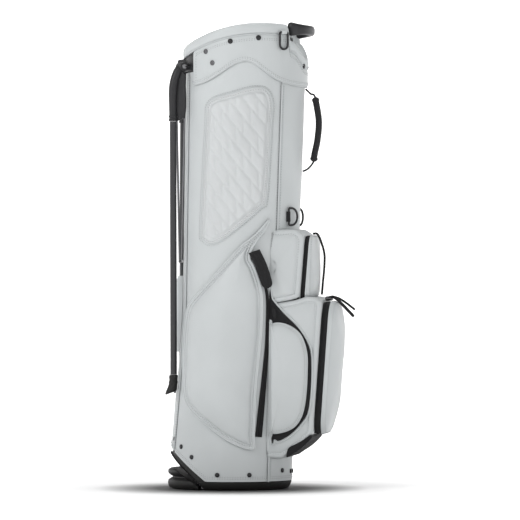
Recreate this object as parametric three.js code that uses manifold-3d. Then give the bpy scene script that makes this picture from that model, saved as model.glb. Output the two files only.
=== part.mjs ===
// Golf stand bag: a leaning oval leather body on a moulded base, two fold-out legs, and zipped pockets.
// Frame: millimetres, +Z up, +X towards the ball pocket, +Y towards the bag's left side.
// The origin is on the ground, in the middle of the base's flat underside.
import * as THREE from "three";
import { mergeVertices } from "three/addons/utils/BufferGeometryUtils.js";
import Module from "manifold-3d";

const wasm = await Module();
wasm.setup();

// ---------------------------------------------------------------- driving dimensions
const GAP = 0.4; // between pieces that touch
// The body's axis and half depth change in straight lines between these heights.
const GROUND = { z: 0, x: -3, r: 119.5 };
const KNEE = { z: 325, x: 16.5, r: 110 };
const MOUTH = { z: 900, x: 31, r: 116.3 };
const OVAL = 6; // the half width is this much less than the half depth
const WALL = 3; // body panel thickness
const HEM_Z = 17; // height of the hem at the back and sides
const HEM_BREAK_X = -30; // the hem climbs in front of this
const HEM_SLOPE = 0.76;
const COLLAR_X = 28.5; // the collar's centre
const COLLAR_R = 119.4; // outer half depth of the collar skirt
const SKIRT_WALL = 3;
const FRAME_R = 110; // outer half depth of the collar's moulded frame
const FRAME_WALL = 5;
const PAD_R = 120.5; // outer half depth of the padded rim
const PAD_H = 22;
const RIM_TOP = 889; // the rim's highest point
const RIM_PEAK_X = 80;
const RIM_CURVE = 0.0015;
const DIP_FROM = 40; // degrees from the back where the rim steps down under the handle
const DIP_TO = 36;
const DIP_TOP = 857;
const DIP_LOW = 826;
const CUP_TOP = 105;
const CUP_WALL = 4;
const CUP_FLOOR = 8;
const HINGE = { x: -41, z: 5 }; // the foot plate's hinge line, along Y
const CUT_FROM = { x: -44, z: 11 }; // the base's sloped underside
const CUT_TO = { x: -130, z: 78 };
const LEG_R = 6.5;
const LEG_PIVOT = { x: -87, y: 52, z: 808 };
const LEG_TOP = { x: -103, y: 60, z: 704 };
const LEG_END = { x: -103.5, y: 50, z: 217 };
const LEG_SPLAY = 30; // degrees that the swing plane is turned outwards from straight ahead
const LINK_TOP = { x: -98, y: 48, z: 712 };
const LINK_R = 2.2;
const CROSSBAR = 20; // width of the actuator's top bar
const ROD = { x: -98, low: 37.6, high: 436, r: 2.5 };
const TOWER_Y = 80; // half width of the pocket tower where it leaves the body
const TAPER = 0.1; // the tower narrows by this share over 100 mm
const ZIP_BAND = 11; // depth of the ball pocket's zip band
const rad = THREE.MathUtils.degToRad;
const lerp = THREE.MathUtils.lerp;
const smooth = THREE.MathUtils.smoothstep;

// ---------------------------------------------------------------- materials
const material = (color, roughness, metalness = 0) =>
  new THREE.MeshStandardMaterial({ color, roughness, metalness });
const leather = material(0xcbcfd0, 0.55);
const blackFabric = material(0x222222, 0.8);
const blackPlastic = material(0x2b2b2d, 0.5);
const rubber = material(0x1d1d1d, 0.75);
const tubeMetal = material(0x37373a, 0.35, 0.7);
const steel = material(0x55575a, 0.35, 0.9);
const lining = material(0x3a3a3c, 0.9);

// ---------------------------------------------------------------- body surface
const between = (z, key) =>
  z < KNEE.z
    ? lerp(GROUND[key], KNEE[key], z / KNEE.z)
    : lerp(KNEE[key], MOUTH[key], (z - KNEE.z) / (MOUTH.z - KNEE.z));
const axisX = (z) => between(z, "x");
const halfDepth = (z) => between(z, "r");
const surface = (angle, z, offset = 0) =>
  new THREE.Vector3(
    axisX(z) + (halfDepth(z) + offset) * Math.cos(angle),
    (halfDepth(z) - OVAL + offset) * Math.sin(angle),
    z,
  );
// The angle of the body's side at a distance x from the origin, on the right (-1) or left (+1) side.
const sideAngle = (x, z, side) =>
  side * Math.acos(THREE.MathUtils.clamp((x - axisX(z)) / halfDepth(z), -1, 1));
const hem = (x) => HEM_Z + Math.max(0, (HEM_BREAK_X - x) * HEM_SLOPE);
const crown = (x) => RIM_TOP - RIM_CURVE * (x - RIM_PEAK_X) ** 2;

function rimTop(angle) {
  const fromBack = Math.abs(THREE.MathUtils.radToDeg(Math.atan2(Math.sin(angle), Math.cos(angle))));
  const x = COLLAR_X + PAD_R * Math.cos(angle);
  const low = DIP_LOW + (DIP_TOP - DIP_LOW) * smooth(fromBack, 8, DIP_TO);
  return lerp(low, crown(x), smooth(fromBack, DIP_TO, DIP_FROM));
}
// The skirt's sewn edge rises over the quilted panel, more gently towards the front.
const skirtWave = (x) => Math.exp(-(((x - 45) / (x < 45 ? 62 : 50)) ** 2));
const SKIRT_LOW = 770;
const SKIRT_RISE = 47;

// ---------------------------------------------------------------- solid builders
// Joins equal rows of points into a closed surface. Rows are loops.
// The first and last rows are capped, or joined to each other.
function loft(rows, joined = false) {
  const n = rows[0].length;
  const positions = rows.flat().flatMap((p) => [p.x, p.y, p.z]);
  const index = [];
  const last = joined ? rows.length : rows.length - 1;
  for (let r = 0; r < last; r++) {
    const a = r * n;
    const b = ((r + 1) % rows.length) * n;
    for (let i = 0; i < n; i++) {
      const j = (i + 1) % n;
      index.push(a + i, a + j, b + j, a + i, b + j, b + i);
    }
  }
  if (!joined) {
    const top = (rows.length - 1) * n;
    const flat = (row) => {
      const normal = new THREE.Vector3();
      row.forEach((p, i) => normal.add(new THREE.Vector3().crossVectors(p, row[(i + 1) % n])));
      const up = new THREE.Vector3(0, 0, 1);
      const turn = new THREE.Quaternion().setFromUnitVectors(normal.normalize(), up);
      return row.map((p) => new THREE.Vector2().copy(p.clone().applyQuaternion(turn)));
    };
    const cap = THREE.ShapeUtils.triangulateShape(flat(rows[0]), []);
    const lid = THREE.ShapeUtils.triangulateShape(flat(rows.at(-1)), []);
    cap.forEach(([i, j, k]) => index.push(i, k, j));
    lid.forEach(([i, j, k]) => index.push(top + i, top + j, top + k));
  }
  const geometry = new THREE.BufferGeometry();
  geometry.setAttribute("position", new THREE.Float32BufferAttribute(positions, 3));
  geometry.setIndex(index);
  return geometry;
}

// Merges equal corners and turns the faces outwards, whichever way round the rows were given.
function facingOut(geometry) {
  const bare = new THREE.BufferGeometry();
  bare.setAttribute("position", geometry.getAttribute("position"));
  if (geometry.index) bare.setIndex(geometry.index);
  const merged = mergeVertices(bare, 1e-3);
  const place = merged.getAttribute("position");
  const order = Array.from(merged.index.array);
  const corner = (i) => new THREE.Vector3().fromBufferAttribute(place, order[i]);
  let volume = 0;
  for (let i = 0; i < order.length; i += 3) {
    volume += corner(i).dot(corner(i + 1).cross(corner(i + 2)));
  }
  if (volume < 0) order.reverse();
  merged.setIndex(order);
  return merged;
}

function toSolid(geometry) {
  const closed = facingOut(geometry);
  const mesh = new wasm.Mesh({
    numProp: 3,
    vertProperties: closed.attributes.position.array,
    triVerts: new Uint32Array(closed.index.array),
  });
  return new wasm.Manifold(mesh);
}

function fromSolid(solid) {
  const mesh = solid.getMesh();
  const geometry = new THREE.BufferGeometry();
  geometry.setAttribute("position", new THREE.Float32BufferAttribute(mesh.vertProperties, 3));
  geometry.setIndex(new THREE.BufferAttribute(mesh.triVerts, 1));
  return geometry;
}
const cut = (geometry, ...tools) =>
  fromSolid(tools.reduce((solid, tool) => solid.subtract(toSolid(tool)), toSolid(geometry)));
const join = (geometry, ...more) =>
  fromSolid(more.reduce((solid, extra) => solid.add(toSolid(extra)), toSolid(geometry)));
const common = (geometry, tool) => fromSolid(toSolid(geometry).intersect(toSolid(tool)));

// A wall that follows the body, from one angle to another, or all the way round.
function wall({ from = 0, to = 360, steps, section }) {
  const whole = to - from === 360;
  const rows = [];
  for (let i = 0; i < (whole ? steps : steps + 1); i++) {
    rows.push(section(rad(from + ((to - from) * i) / steps)));
  }
  return loft(rows, whole);
}

const SKIN = 9; // how far a patch reaches in before the body trims it

// An oval disc stack about the body's axis, from [half depth, height] levels, bottom first.
function ovalStack(levels, steps = 40) {
  return loft(
    levels.map(([r, z]) =>
      Array.from({ length: steps }, (_, i) => {
        const a = (i / steps) * Math.PI * 2;
        return new THREE.Vector3(axisX(z) + r * Math.cos(a), (r - OVAL) * Math.sin(a), z);
      }),
    ),
  );
}

// A prism from points in the XZ plane, centred on Y.
function prismY(points, width, y = 0) {
  const shape = new THREE.Shape(points.map(([x, z]) => new THREE.Vector2(x, z)));
  const geometry = new THREE.ExtrudeGeometry(shape, { depth: width, bevelEnabled: false });
  geometry.rotateX(Math.PI / 2);
  geometry.translate(0, y + width / 2, 0);
  return geometry;
}

// A flat plate from a YZ shape, its back face at x.
function plateX(shape, x, depth) {
  const geometry = new THREE.ExtrudeGeometry(shape, { depth, bevelEnabled: false, curveSegments: 5 });
  geometry.applyMatrix4(
    new THREE.Matrix4().makeBasis(
      new THREE.Vector3(0, 1, 0),
      new THREE.Vector3(0, 0, 1),
      new THREE.Vector3(1, 0, 0),
    ),
  );
  geometry.translate(x, 0, 0);
  return geometry;
}

function roundedShape(x0, y0, x1, y1, r) {
  const shape = new THREE.Shape();
  shape.moveTo(x0 + r, y0);
  shape.lineTo(x1 - r, y0);
  shape.absarc(x1 - r, y0 + r, r, -Math.PI / 2, 0, false);
  shape.lineTo(x1, y1 - r);
  shape.absarc(x1 - r, y1 - r, r, 0, Math.PI / 2, false);
  shape.lineTo(x0 + r, y1);
  shape.absarc(x0 + r, y1 - r, r, Math.PI / 2, Math.PI, false);
  shape.lineTo(x0, y0 + r);
  shape.absarc(x0 + r, y0 + r, r, Math.PI, Math.PI * 1.5, false);
  return shape;
}

// A round bar along a smooth curve.
function bar(points, radius, steps = 12, sides = 8, squash = 1) {
  const section = new THREE.Shape(
    Array.from({ length: sides }, (_, i) => {
      const a = (i / sides) * Math.PI * 2;
      return new THREE.Vector2(radius * squash * Math.cos(a), radius * Math.sin(a));
    }),
  );
  const path = new THREE.CatmullRomCurve3(points.map((p) => new THREE.Vector3(...p)), false, "chordal");
  return new THREE.ExtrudeGeometry(section, { steps, bevelEnabled: false, extrudePath: path });
}

function cylinderBetween(a, b, radius, sides = 14, endRadius = radius) {
  const start = new THREE.Vector3(...a);
  const along = new THREE.Vector3(...b).sub(start);
  const geometry = new THREE.CylinderGeometry(endRadius, radius, along.length(), sides);
  geometry.translate(0, along.length() / 2, 0);
  geometry.applyQuaternion(
    new THREE.Quaternion().setFromUnitVectors(new THREE.Vector3(0, 1, 0), along.clone().normalize()),
  );
  return geometry.translate(start.x, start.y, start.z);
}

// A padded patch on the body's side: an outline of [x, z] points, thin at its edge and
// thicker in the middle.
function patch(outline, side, { edge, crownHeight, rings = [1, 0.86, 0.5] }) {
  const points = outline.map(([x, z]) => new THREE.Vector2(x, z));
  const n = points.length;
  const centre = points.reduce((sum, p) => sum.add(p), new THREE.Vector2()).divideScalar(n);
  const place = (p, offset) => surface(sideAngle(p.x, p.y, side), p.y, offset);
  const rowAt = (f, offset) => points.map((p) => place(centre.clone().lerp(p, f), offset));
  const height = (f) => edge + (crownHeight - edge) * (1 - f ** 2);
  const under = rings.map((f) => rowAt(f, -SKIN)).reverse();
  const rows = [...under, ...rings.map((f) => rowAt(f, height(f)))];
  const positions = rows.flat();
  const index = [];
  for (let r = 0; r < rows.length - 1; r++) {
    for (let i = 0; i < n; i++) {
      const j = (i + 1) % n;
      index.push(r * n + i, r * n + j, (r + 1) * n + j, r * n + i, (r + 1) * n + j, (r + 1) * n + i);
    }
  }
  const low = positions.push(place(centre, -SKIN)) - 1;
  const high = positions.push(place(centre, height(0))) - 1;
  const top = (rows.length - 1) * n;
  for (let i = 0; i < n; i++) {
    const j = (i + 1) % n;
    index.push(low, j, i, high, top + i, top + j);
  }
  const geometry = new THREE.BufferGeometry();
  geometry.setAttribute(
    "position",
    new THREE.Float32BufferAttribute(positions.flatMap((p) => [p.x, p.y, p.z]), 3),
  );
  geometry.setIndex(index);
  return cut(geometry, bodyCore);
}

// Points along a closed smooth curve through [x, z] corners.
function smoothOutline(corners, count) {
  const curve = new THREE.CatmullRomCurve3(
    corners.map(([x, z]) => new THREE.Vector3(x, z, 0)),
    true,
    "centripetal",
  );
  return curve.getSpacedPoints(count).slice(0, -1).map((p) => [p.x, p.y]);
}

// The body with a gap around it, for trimming what lies against it.
const bodyCore = ovalStack(
  [GROUND, KNEE, MOUTH].map(({ z, r }) => [r + GAP, z]),
  80,
);

const SIDES = [
  ["right", -1],
  ["left", 1],
];

const bag = new THREE.Group();
function add(name, geometry, look) {
  const mesh = new THREE.Mesh(facingOut(geometry), look);
  mesh.name = name;
  bag.add(mesh);
}

// ---------------------------------------------------------------- base and foot plate
const FAR = 200;
const cutWedge = (lift) =>
  prismY(
    [
      [CUT_FROM.x + 8, -5],
      [CUT_FROM.x + 8, CUT_FROM.z - 1 + lift],
      [CUT_FROM.x, CUT_FROM.z + lift],
      [CUT_TO.x, CUT_TO.z + lift],
      [CUT_TO.x, -5],
    ],
    2 * FAR,
  );

function baseCup() {
  const inside = (z) => halfDepth(z) - WALL - GAP;
  const outer = ovalStack([
    [inside(0) - 5, 0],
    [inside(10) - 0.6, 9],
    [inside(HEM_Z), HEM_Z + 1],
    [inside(80), 80],
    [inside(CUP_TOP), CUP_TOP],
  ]);
  const cavity = ovalStack([
    [inside(0) - CUP_WALL - 5, CUP_FLOOR],
    [inside(60) - CUP_WALL, 60],
    [inside(CUP_TOP) - CUP_WALL, CUP_TOP + 1],
  ]);
  const rodSlot = prismY([[-106, 30], [-90, 30], [-90, CUP_TOP + 5], [-106, CUP_TOP + 5]], 12);
  const lugs = [-1, 1].map((side) =>
    prismY([[-47, 1.5], [-37, 1.5], [-37, 12], [-47, 12]], 8, side * 85),
  );
  const bore = cylinderBetween([HINGE.x, -95, HINGE.z], [HINGE.x, 95, HINGE.z], 3.4, 12);
  const hollow = cut(outer, cutWedge(0), cut(cavity, cutWedge(6)), rodSlot);
  return cut(join(hollow, ...lugs), bore);
}
add("base_cup", baseCup(), rubber);

function footPlate() {
  const lips = ovalStack([
    [113, 1],
    [118, 5],
    [119.5, 12],
    [117, 19],
    [111, 22],
    [111, 24],
    [116, 27],
    [119.5, 33],
    [114, 39.5],
  ]);
  const wedge = prismY(
    [
      [-47.6, 0],
      [-47.6, 8],
      [-96, 30.5],
      [-104, 39.5],
      [-130, 41],
      [-130, 0],
    ],
    2 * FAR,
  );
  const span = 80;
  const knuckle = cylinderBetween([HINGE.x, -span, HINGE.z], [HINGE.x, span, HINGE.z], 4.4, 12);
  const web = prismY([[-50, 1.2], [HINGE.x, 1.2], [HINGE.x, 7], [-50, 7]], 2 * span);
  const bore = cylinderBetween([HINGE.x, -95, HINGE.z], [HINGE.x, 95, HINGE.z], 3.3, 12);
  return cut(join(common(lips, wedge), knuckle, web), bore);
}
add("foot_plate", footPlate(), rubber);
add("foot_pin", cylinderBetween([HINGE.x, -88, HINGE.z], [HINGE.x, 88, HINGE.z], 3, 12), steel);

// ---------------------------------------------------------------- body panels
const PANELS = {
  back_panel: [-44, 44, 12],
  left_side_panel: [44.3, 152, 14],
  front_panel: [152.3, 207.7, 8],
  right_side_panel: [208, 315.7, 14],
};
const panelTop = (x) => 796 + 28 * skirtWave(x);
function bodyPanel([from, to, steps]) {
  const section = (angle) => {
    const low = hem(surface(angle, 60).x);
    const high = panelTop(surface(angle, 800).x);
    const levels = [low, KNEE.z, high];
    const outside = levels.map((z) => surface(angle, z));
    const inside = levels.map((z) => surface(angle, z, -WALL));
    return [...outside, ...inside.reverse()];
  };
  return wall({ from, to, steps, section });
}
const rodWindow = prismY([[-130, 190], [-80, 190], [-80, 340], [-130, 340]], 12);
Object.entries(PANELS).forEach(([name, span]) => {
  const panel = bodyPanel(span);
  add(name, name === "front_panel" ? cut(panel, rodWindow) : panel, leather);
});

// ---------------------------------------------------------------- collar
const ringPoint = (angle, r, z) =>
  new THREE.Vector3(COLLAR_X + r * Math.cos(angle), (r - OVAL) * Math.sin(angle), z);
add(
  "collar_frame",
  wall({
    steps: 72,
    section: (a) => {
      const high = rimTop(a) - PAD_H - 3 * GAP;
      return [
        ringPoint(a, FRAME_R, 765),
        ringPoint(a, FRAME_R, high),
        ringPoint(a, FRAME_R - FRAME_WALL, high),
        ringPoint(a, FRAME_R - FRAME_WALL, 765),
      ];
    },
  }),
  blackPlastic,
);
const FRONT_GAP = 140; // the skirt ends here, in degrees from the back, where the leg housing begins
add(
  "collar_skirt",
  wall({
    from: -FRONT_GAP,
    to: FRONT_GAP,
    steps: 56,
    section: (a) => {
      const low = SKIRT_LOW + SKIRT_RISE * skirtWave(ringPoint(a, COLLAR_R, 0).x);
      const high = rimTop(a) - PAD_H - 3 * GAP;
      return [
        ringPoint(a, COLLAR_R, low),
        ringPoint(a, COLLAR_R, high),
        ringPoint(a, COLLAR_R - SKIRT_WALL, high),
        ringPoint(a, COLLAR_R - SKIRT_WALL, low),
      ];
    },
  }),
  leather,
);
const rimPad = wall({
  steps: 72,
  section: (a) => {
    const top = rimTop(a);
    const inner = FRAME_R - FRAME_WALL;
    return [
      ringPoint(a, PAD_R - 1, top - PAD_H),
      ringPoint(a, PAD_R, top - PAD_H * 0.55),
      ringPoint(a, PAD_R - 3, top - 3),
      ringPoint(a, (PAD_R + inner) / 2, top),
      ringPoint(a, inner + 2, top - 4),
      ringPoint(a, inner, top - PAD_H),
    ];
  },
});
const towel = ringSet({
  degrees: -46,
  z: 873,
  gap: 5,
  radius: PAD_R - 1.4,
  height: 22,
  reach: 36,
  hanging: true,
});
add("collar_pad", join(rimPad, towel.holder), leather);
add("towel_ring", towel.ring, blackPlastic);

function liftHandle() {
  const rows = [];
  const STEPS = 16;
  const HALF_SPAN = 35.5; // degrees
  for (let i = 0; i <= STEPS; i++) {
    const t = (i / STEPS) * 2 - 1;
    const a = rad(HALF_SPAN * t);
    const out = 1 - t ** 4;
    const r = 112 + 14 * out;
    const centre = ringPoint(a, r, lerp(878.5, 877.5, out));
    const tall = lerp(14, 9, out);
    const thick = lerp(6.5, 7, out);
    const radial = new THREE.Vector3(Math.cos(a), Math.sin(a), 0);
    const corners = 10;
    rows.push(
      Array.from({ length: corners }, (_, k) => {
        const c = (k / corners) * Math.PI * 2;
        return centre
          .clone()
          .addScaledVector(radial, thick * Math.cos(c))
          .add(new THREE.Vector3(0, 0, tall * Math.sin(c)));
      }),
    );
  }
  return loft(rows);
}
add("lift_handle", liftHandle(), blackPlastic);

// ---------------------------------------------------------------- dividers and stays
const BAR_Z = [822, 848];
const DIVIDERS = { front: -42, rear: 43 };
const SHEET_Z = [30, 821];
function crossBox(x, halfWidth, [z0, z1], thick) {
  const shift = (z) => x + axisX(z);
  const row = (z) => [
    new THREE.Vector3(shift(z) - thick / 2, -halfWidth, z),
    new THREE.Vector3(shift(z) + thick / 2, -halfWidth, z),
    new THREE.Vector3(shift(z) + thick / 2, halfWidth, z),
    new THREE.Vector3(shift(z) - thick / 2, halfWidth, z),
  ];
  return loft([row(z0), row(z1)]);
}
for (const [name, x] of Object.entries(DIVIDERS)) {
  add(name + "_divider_bar", crossBox(x, 86, BAR_Z, 10), leather);
  add(name + "_divider_sheet", crossBox(x, 88, SHEET_Z, 1.6), lining);
}
function lengthwiseBox([z0, z1], thick, clear) {
  const row = (z) => {
    const x0 = DIVIDERS.front + axisX(z) + clear;
    const x1 = DIVIDERS.rear + axisX(z) - clear;
    return [
      new THREE.Vector3(x0, -thick / 2, z),
      new THREE.Vector3(x1, -thick / 2, z),
      new THREE.Vector3(x1, thick / 2, z),
      new THREE.Vector3(x0, thick / 2, z),
    ];
  };
  return loft([row(z0), row(z1)]);
}
add("centre_divider_bar", lengthwiseBox(BAR_Z, 10, 5 + GAP), leather);
add("centre_divider_sheet", lengthwiseBox(SHEET_Z, 1.6, 0.8 + GAP), lining);
for (const [name, side] of SIDES) {
  const at = (z) => surface(side * rad(32), z, -10.5).toArray();
  add("stay_" + name, cylinderBetween(at(CUP_TOP + 1), at(763), 2.6, 10), steel);
}

// ---------------------------------------------------------------- leg hinge housing and legs
// The hinge axis is level, and turned so that the leg swings forwards and outwards.
function legHinge(side) {
  const pivot = new THREE.Vector3(LEG_PIVOT.x, side * LEG_PIVOT.y, LEG_PIVOT.z);
  const axis = new THREE.Vector3(side * Math.sin(rad(LEG_SPLAY)), Math.cos(rad(LEG_SPLAY)), 0);
  const along = (d) => pivot.clone().addScaledVector(axis, d).toArray();
  const rod = (from, to, radius) => cylinderBetween(along(from), along(to), radius, 16);
  return { pivot, axis, rod };
}

function legHousing() {
  const body = wall({
    from: FRONT_GAP + 0.4,
    to: 359.6 - FRONT_GAP,
    steps: 24,
    section: (a) => {
      const off = Math.abs(THREE.MathUtils.radToDeg(a) - 180);
      const outer = lerp(COLLAR_R + 12, COLLAR_R - 2, smooth(off, 12, 17));
      const high = rimTop(a) - PAD_H - 3 * GAP;
      return [
        ringPoint(a, FRAME_R + 2 * GAP, 799),
        ringPoint(a, outer, 799),
        ringPoint(a, outer, high - 4),
        ringPoint(a, FRAME_R + 2 * GAP, high),
      ];
    },
  });
  const lugs = SIDES.flatMap(([, side]) => {
    const { pivot, axis, rod } = legHinge(side);
    return [-11.5, 11.5].flatMap((d) => {
      const web = new THREE.BoxGeometry(14, 4, 17);
      web.translate(7, 0, 0);
      web.rotateZ(Math.atan2(axis.y, axis.x) - Math.PI / 2);
      web.translate(...pivot.clone().addScaledVector(axis, d).toArray());
      return [rod(d - 2, d + 2, 8.5), web];
    });
  });
  const clear = ovalRing(FRAME_R + 2 * GAP, 780, 830);
  const bores = SIDES.map(([, side]) => legHinge(side).rod(-20, 20, 3));
  return cut(join(body, ...lugs), clear, ...bores);
}
function ovalRing(r, z0, z1) {
  const steps = 90;
  const row = (z) =>
    Array.from({ length: steps }, (_, i) => ringPoint((i / steps) * Math.PI * 2, r, z));
  return loft([row(z0), row(z1)]);
}
add("leg_housing", legHousing(), blackPlastic);

for (const [name, side] of SIDES) {
  const { rod } = legHinge(side);
  const mirrored = ({ x, y, z }) => [x, side * y, z];
  const top = new THREE.Vector3(...mirrored(LEG_TOP));
  const end = new THREE.Vector3(...mirrored(LEG_END));
  const down = end.clone().sub(top).normalize();
  const arm = bar(
    [
      mirrored({ x: LEG_PIVOT.x - 1, y: LEG_PIVOT.y + 0.5, z: LEG_PIVOT.z - 2 }),
      mirrored({ x: LEG_PIVOT.x - 9, y: LEG_PIVOT.y + 4.5, z: LEG_PIVOT.z - 13 }),
      mirrored({ x: LEG_TOP.x, y: LEG_TOP.y - 0.5, z: 762 }),
      top.clone().addScaledVector(down, GAP).toArray(),
    ],
    8,
    10,
    10,
  );
  const lug = cylinderBetween(
    mirrored({ x: LEG_TOP.x, y: LEG_TOP.y, z: LINK_TOP.z }),
    mirrored({ x: LINK_TOP.x, y: LINK_TOP.y + 3.6, z: LINK_TOP.z }),
    4,
    10,
  );
  add("leg_head_" + name, cut(join(arm, rod(-8.6, 8.6, 8.5), lug), rod(-20, 20, 3)), blackPlastic);
  add("leg_pin_" + name, rod(-14.5, 14.5, 2.7), steel);
  const start = top.clone().addScaledVector(down, 2 * GAP);
  add("leg_tube_" + name, cylinderBetween(start.toArray(), end.toArray(), LEG_R, 12), tubeMetal);
  const shoeRow = (d, r, shift, tilt) =>
    Array.from({ length: 12 }, (_, i) => {
      const a = (i / 12) * Math.PI * 2;
      const offset = new THREE.Vector3(shift + r * Math.cos(a), r * 0.9 * Math.sin(a), -tilt * Math.cos(a));
      return end.clone().addScaledVector(down, d).add(offset);
    });
  add(
    "leg_foot_" + name,
    loft([shoeRow(31, 11, -5, -3.5), shoeRow(20, 9, -1.5, 0), shoeRow(GAP, 8.4, -0.5, 0)]),
    rubber,
  );
  const linkEnd = [ROD.x, side * (CROSSBAR / 2 + LINK_R + 1.5), ROD.high];
  add("link_" + name, cylinderBetween(mirrored(LINK_TOP), linkEnd, LINK_R, 8), steel);
}

// ---------------------------------------------------------------- actuator and its sleeve
const CROSSBAR_R = 3.2;
const crossbar = cylinderBetween(
  [ROD.x, -CROSSBAR / 2, ROD.high],
  [ROD.x, CROSSBAR / 2, ROD.high],
  CROSSBAR_R,
  10,
);
const rodShaft = cylinderBetween([ROD.x, 0, ROD.low], [ROD.x, 0, ROD.high], ROD.r, 10);
add("actuator_rod", join(rodShaft, crossbar), steel);

function rodSleeve() {
  const front = (z) => surface(Math.PI, z).x;
  const row = (z, out, half) => [
    new THREE.Vector3(front(z) + 4, -half, z),
    new THREE.Vector3(front(z) - out * 0.7, -half + 1, z),
    new THREE.Vector3(front(z) - out, -half * 0.5, z),
    new THREE.Vector3(front(z) - out, half * 0.5, z),
    new THREE.Vector3(front(z) - out * 0.7, half - 1, z),
    new THREE.Vector3(front(z) + 4, half, z),
  ];
  const body = loft([row(262, 8, 11), row(KNEE.z, 12.5, 12), row(408, 14, 12)]);
  const tunnel = prismY([[-102.5, 240], [-80, 240], [-80, 440], [-102.5, 440]], 12);
  return cut(body, bodyCore, tunnel);
}
add("rod_sleeve", rodSleeve(), leather);
add(
  "leg_clip",
  (() => {
    const x = surface(Math.PI, 308).x - 12.6;
    return prismY([[x - 5, 303], [x - GAP, 303], [x - GAP, 313], [x - 5, 313]], 22);
  })(),
  blackPlastic,
);

// ---------------------------------------------------------------- side apparel pockets
const APPAREL = [
  [88, 521],
  [51, 490],
  [35, 471],
  [7, 447],
  [-8, 410],
  [-50, 374],
  [-74, 345],
  [-80, 300],
  [-81, 240],
  [-78, 188],
  [-67, 158],
  [-30, 124],
  [15, 92],
  [60, 76],
  [64, 110],
  [64, 189],
  [70, 265],
  [73, 310],
  [74, 362],
  [70, 392],
  [60, 425],
  [52, 444],
  [62, 470],
  [82, 500],
];
const ZIP_LINE = [
  [62, 447],
  [72, 420],
  [79, 389],
  [81, 362],
  [80, 310],
  [76.5, 265],
  [70.5, 189],
  [69.5, 100],
];
const QUILT = [
  [-33, 693],
  [-26, 738],
  [20, 755],
  [61, 765],
  [83, 761],
  [92, 738],
  [90, 693],
  [81, 556],
  [71, 538],
  [27, 498],
  [-3, 476],
  [-24, 469],
  [-40, 478],
  [-44, 500],
];
function stripOutline(line, halfWidth, steps) {
  const curve = new THREE.SplineCurve(line.map(([x, z]) => new THREE.Vector2(x, z)));
  const left = [];
  const right = [];
  for (let i = 0; i <= steps; i++) {
    const p = curve.getPoint(i / steps);
    const t = curve.getTangent(i / steps);
    left.push([p.x - t.y * halfWidth, p.y + t.x * halfWidth]);
    right.push([p.x + t.y * halfWidth, p.y - t.x * halfWidth]);
  }
  return [left, right];
}
// A thin band on the body's side along a strip: four corners per row.
function band(line, halfWidth, side, base, height, steps = 14) {
  const [left, right] = stripOutline(line, halfWidth, steps);
  const place = ([x, z], offset) => surface(sideAngle(x, z, side), z, offset);
  const rows = left.map((l, i) => [
    place(l, base),
    place(right[i], base),
    place(right[i], base + height),
    place(l, base + height),
  ]);
  return loft(rows);
}
const zipClearance = band(ZIP_LINE, 9, -1, -9, 40, 16);
for (const [name, side] of SIDES) {
  add("quilt_panel_" + name, patch(smoothOutline(QUILT, 30), side, { edge: 1.5, crownHeight: 5 }), leather);
  const pad = patch(smoothOutline(APPAREL, 44), side, { edge: 5, crownHeight: 18 });
  const zipRoom = band(ZIP_LINE, 5, side, -9, 40, 16);
  add("apparel_pocket_" + name, cut(pad, zipRoom), leather);
  add("apparel_zip_" + name, cut(band(ZIP_LINE, 4.4, side, -4, 9, 14), bodyCore), blackFabric);
  add("apparel_pull_" + name, band([[60, 442], [69, 416], [76, 380]], 8, side, 13.5, 3.5, 6), blackFabric);
}

// ---------------------------------------------------------------- pocket tower behind the body
const towerWidth = (x) => 1 - (TAPER * (x - 85)) / 100;
// Slopes a tower piece: its far side leans back, and it narrows towards the back.
function towerForm(geometry, slope, level) {
  const place = geometry.getAttribute("position");
  for (let i = 0; i < place.count; i++) {
    const x = place.getX(i);
    const z = place.getZ(i);
    const lean = slope * (z - level) * THREE.MathUtils.clamp((x - 100) / 40, 0, 1);
    place.setXYZ(i, x + lean, place.getY(i) * towerWidth(x + lean), z);
  }
  return geometry;
}
const LOWER = { x: 177, slope: 0.07, level: 240, z0: 105, z1: 360 };
const UPPER = { x: 147, slope: 0.08, level: 420, z0: 366, z1: 486 };
const lowerProfile = (inset) => [
  [60, 62 + inset],
  [112, 60 + inset],
  [137, 69 + inset],
  [LOWER.x, LOWER.z0],
  [LOWER.x, LOWER.z1],
  [168, 365 - inset],
  [130, 358 - inset],
  [60, 340 - inset],
];
const upperProfile = (inset) => [
  [60, 350 + inset],
  [129, 362 + inset],
  [UPPER.x, 366.5 + inset],
  [UPPER.x, 480 - inset],
  [130, 498 - inset],
  [60, 494 - inset],
];
function tower(profile, { x, slope, level }) {
  const outer = prismY(profile(0), 2 * TOWER_Y);
  const inner = prismY(profile(5).map(([px, pz]) => [px === x ? px + 30 : px, pz]), 2 * TOWER_Y - 10);
  return cut(towerForm(outer, slope, level), bodyCore, towerForm(inner, slope, level));
}
add("lower_gusset", tower(lowerProfile, LOWER), leather);
add("upper_gusset", tower(upperProfile, UPPER), leather);
const LOWER_HALF = 69;
const UPPER_HALF = 72;
function zipBand({ x, z0, z1, slope, level }, half, depth, corner) {
  const plate = plateX(roundedShape(-half, z0 + 4, half, z1 - 4, corner), x + GAP, depth);
  return towerForm(plate, slope, level);
}
add("ball_zip", zipBand(LOWER, LOWER_HALF, ZIP_BAND, 34), blackFabric);
add("valuables_zip", zipBand(UPPER, UPPER_HALF, ZIP_BAND - 3, 22), blackFabric);

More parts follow.
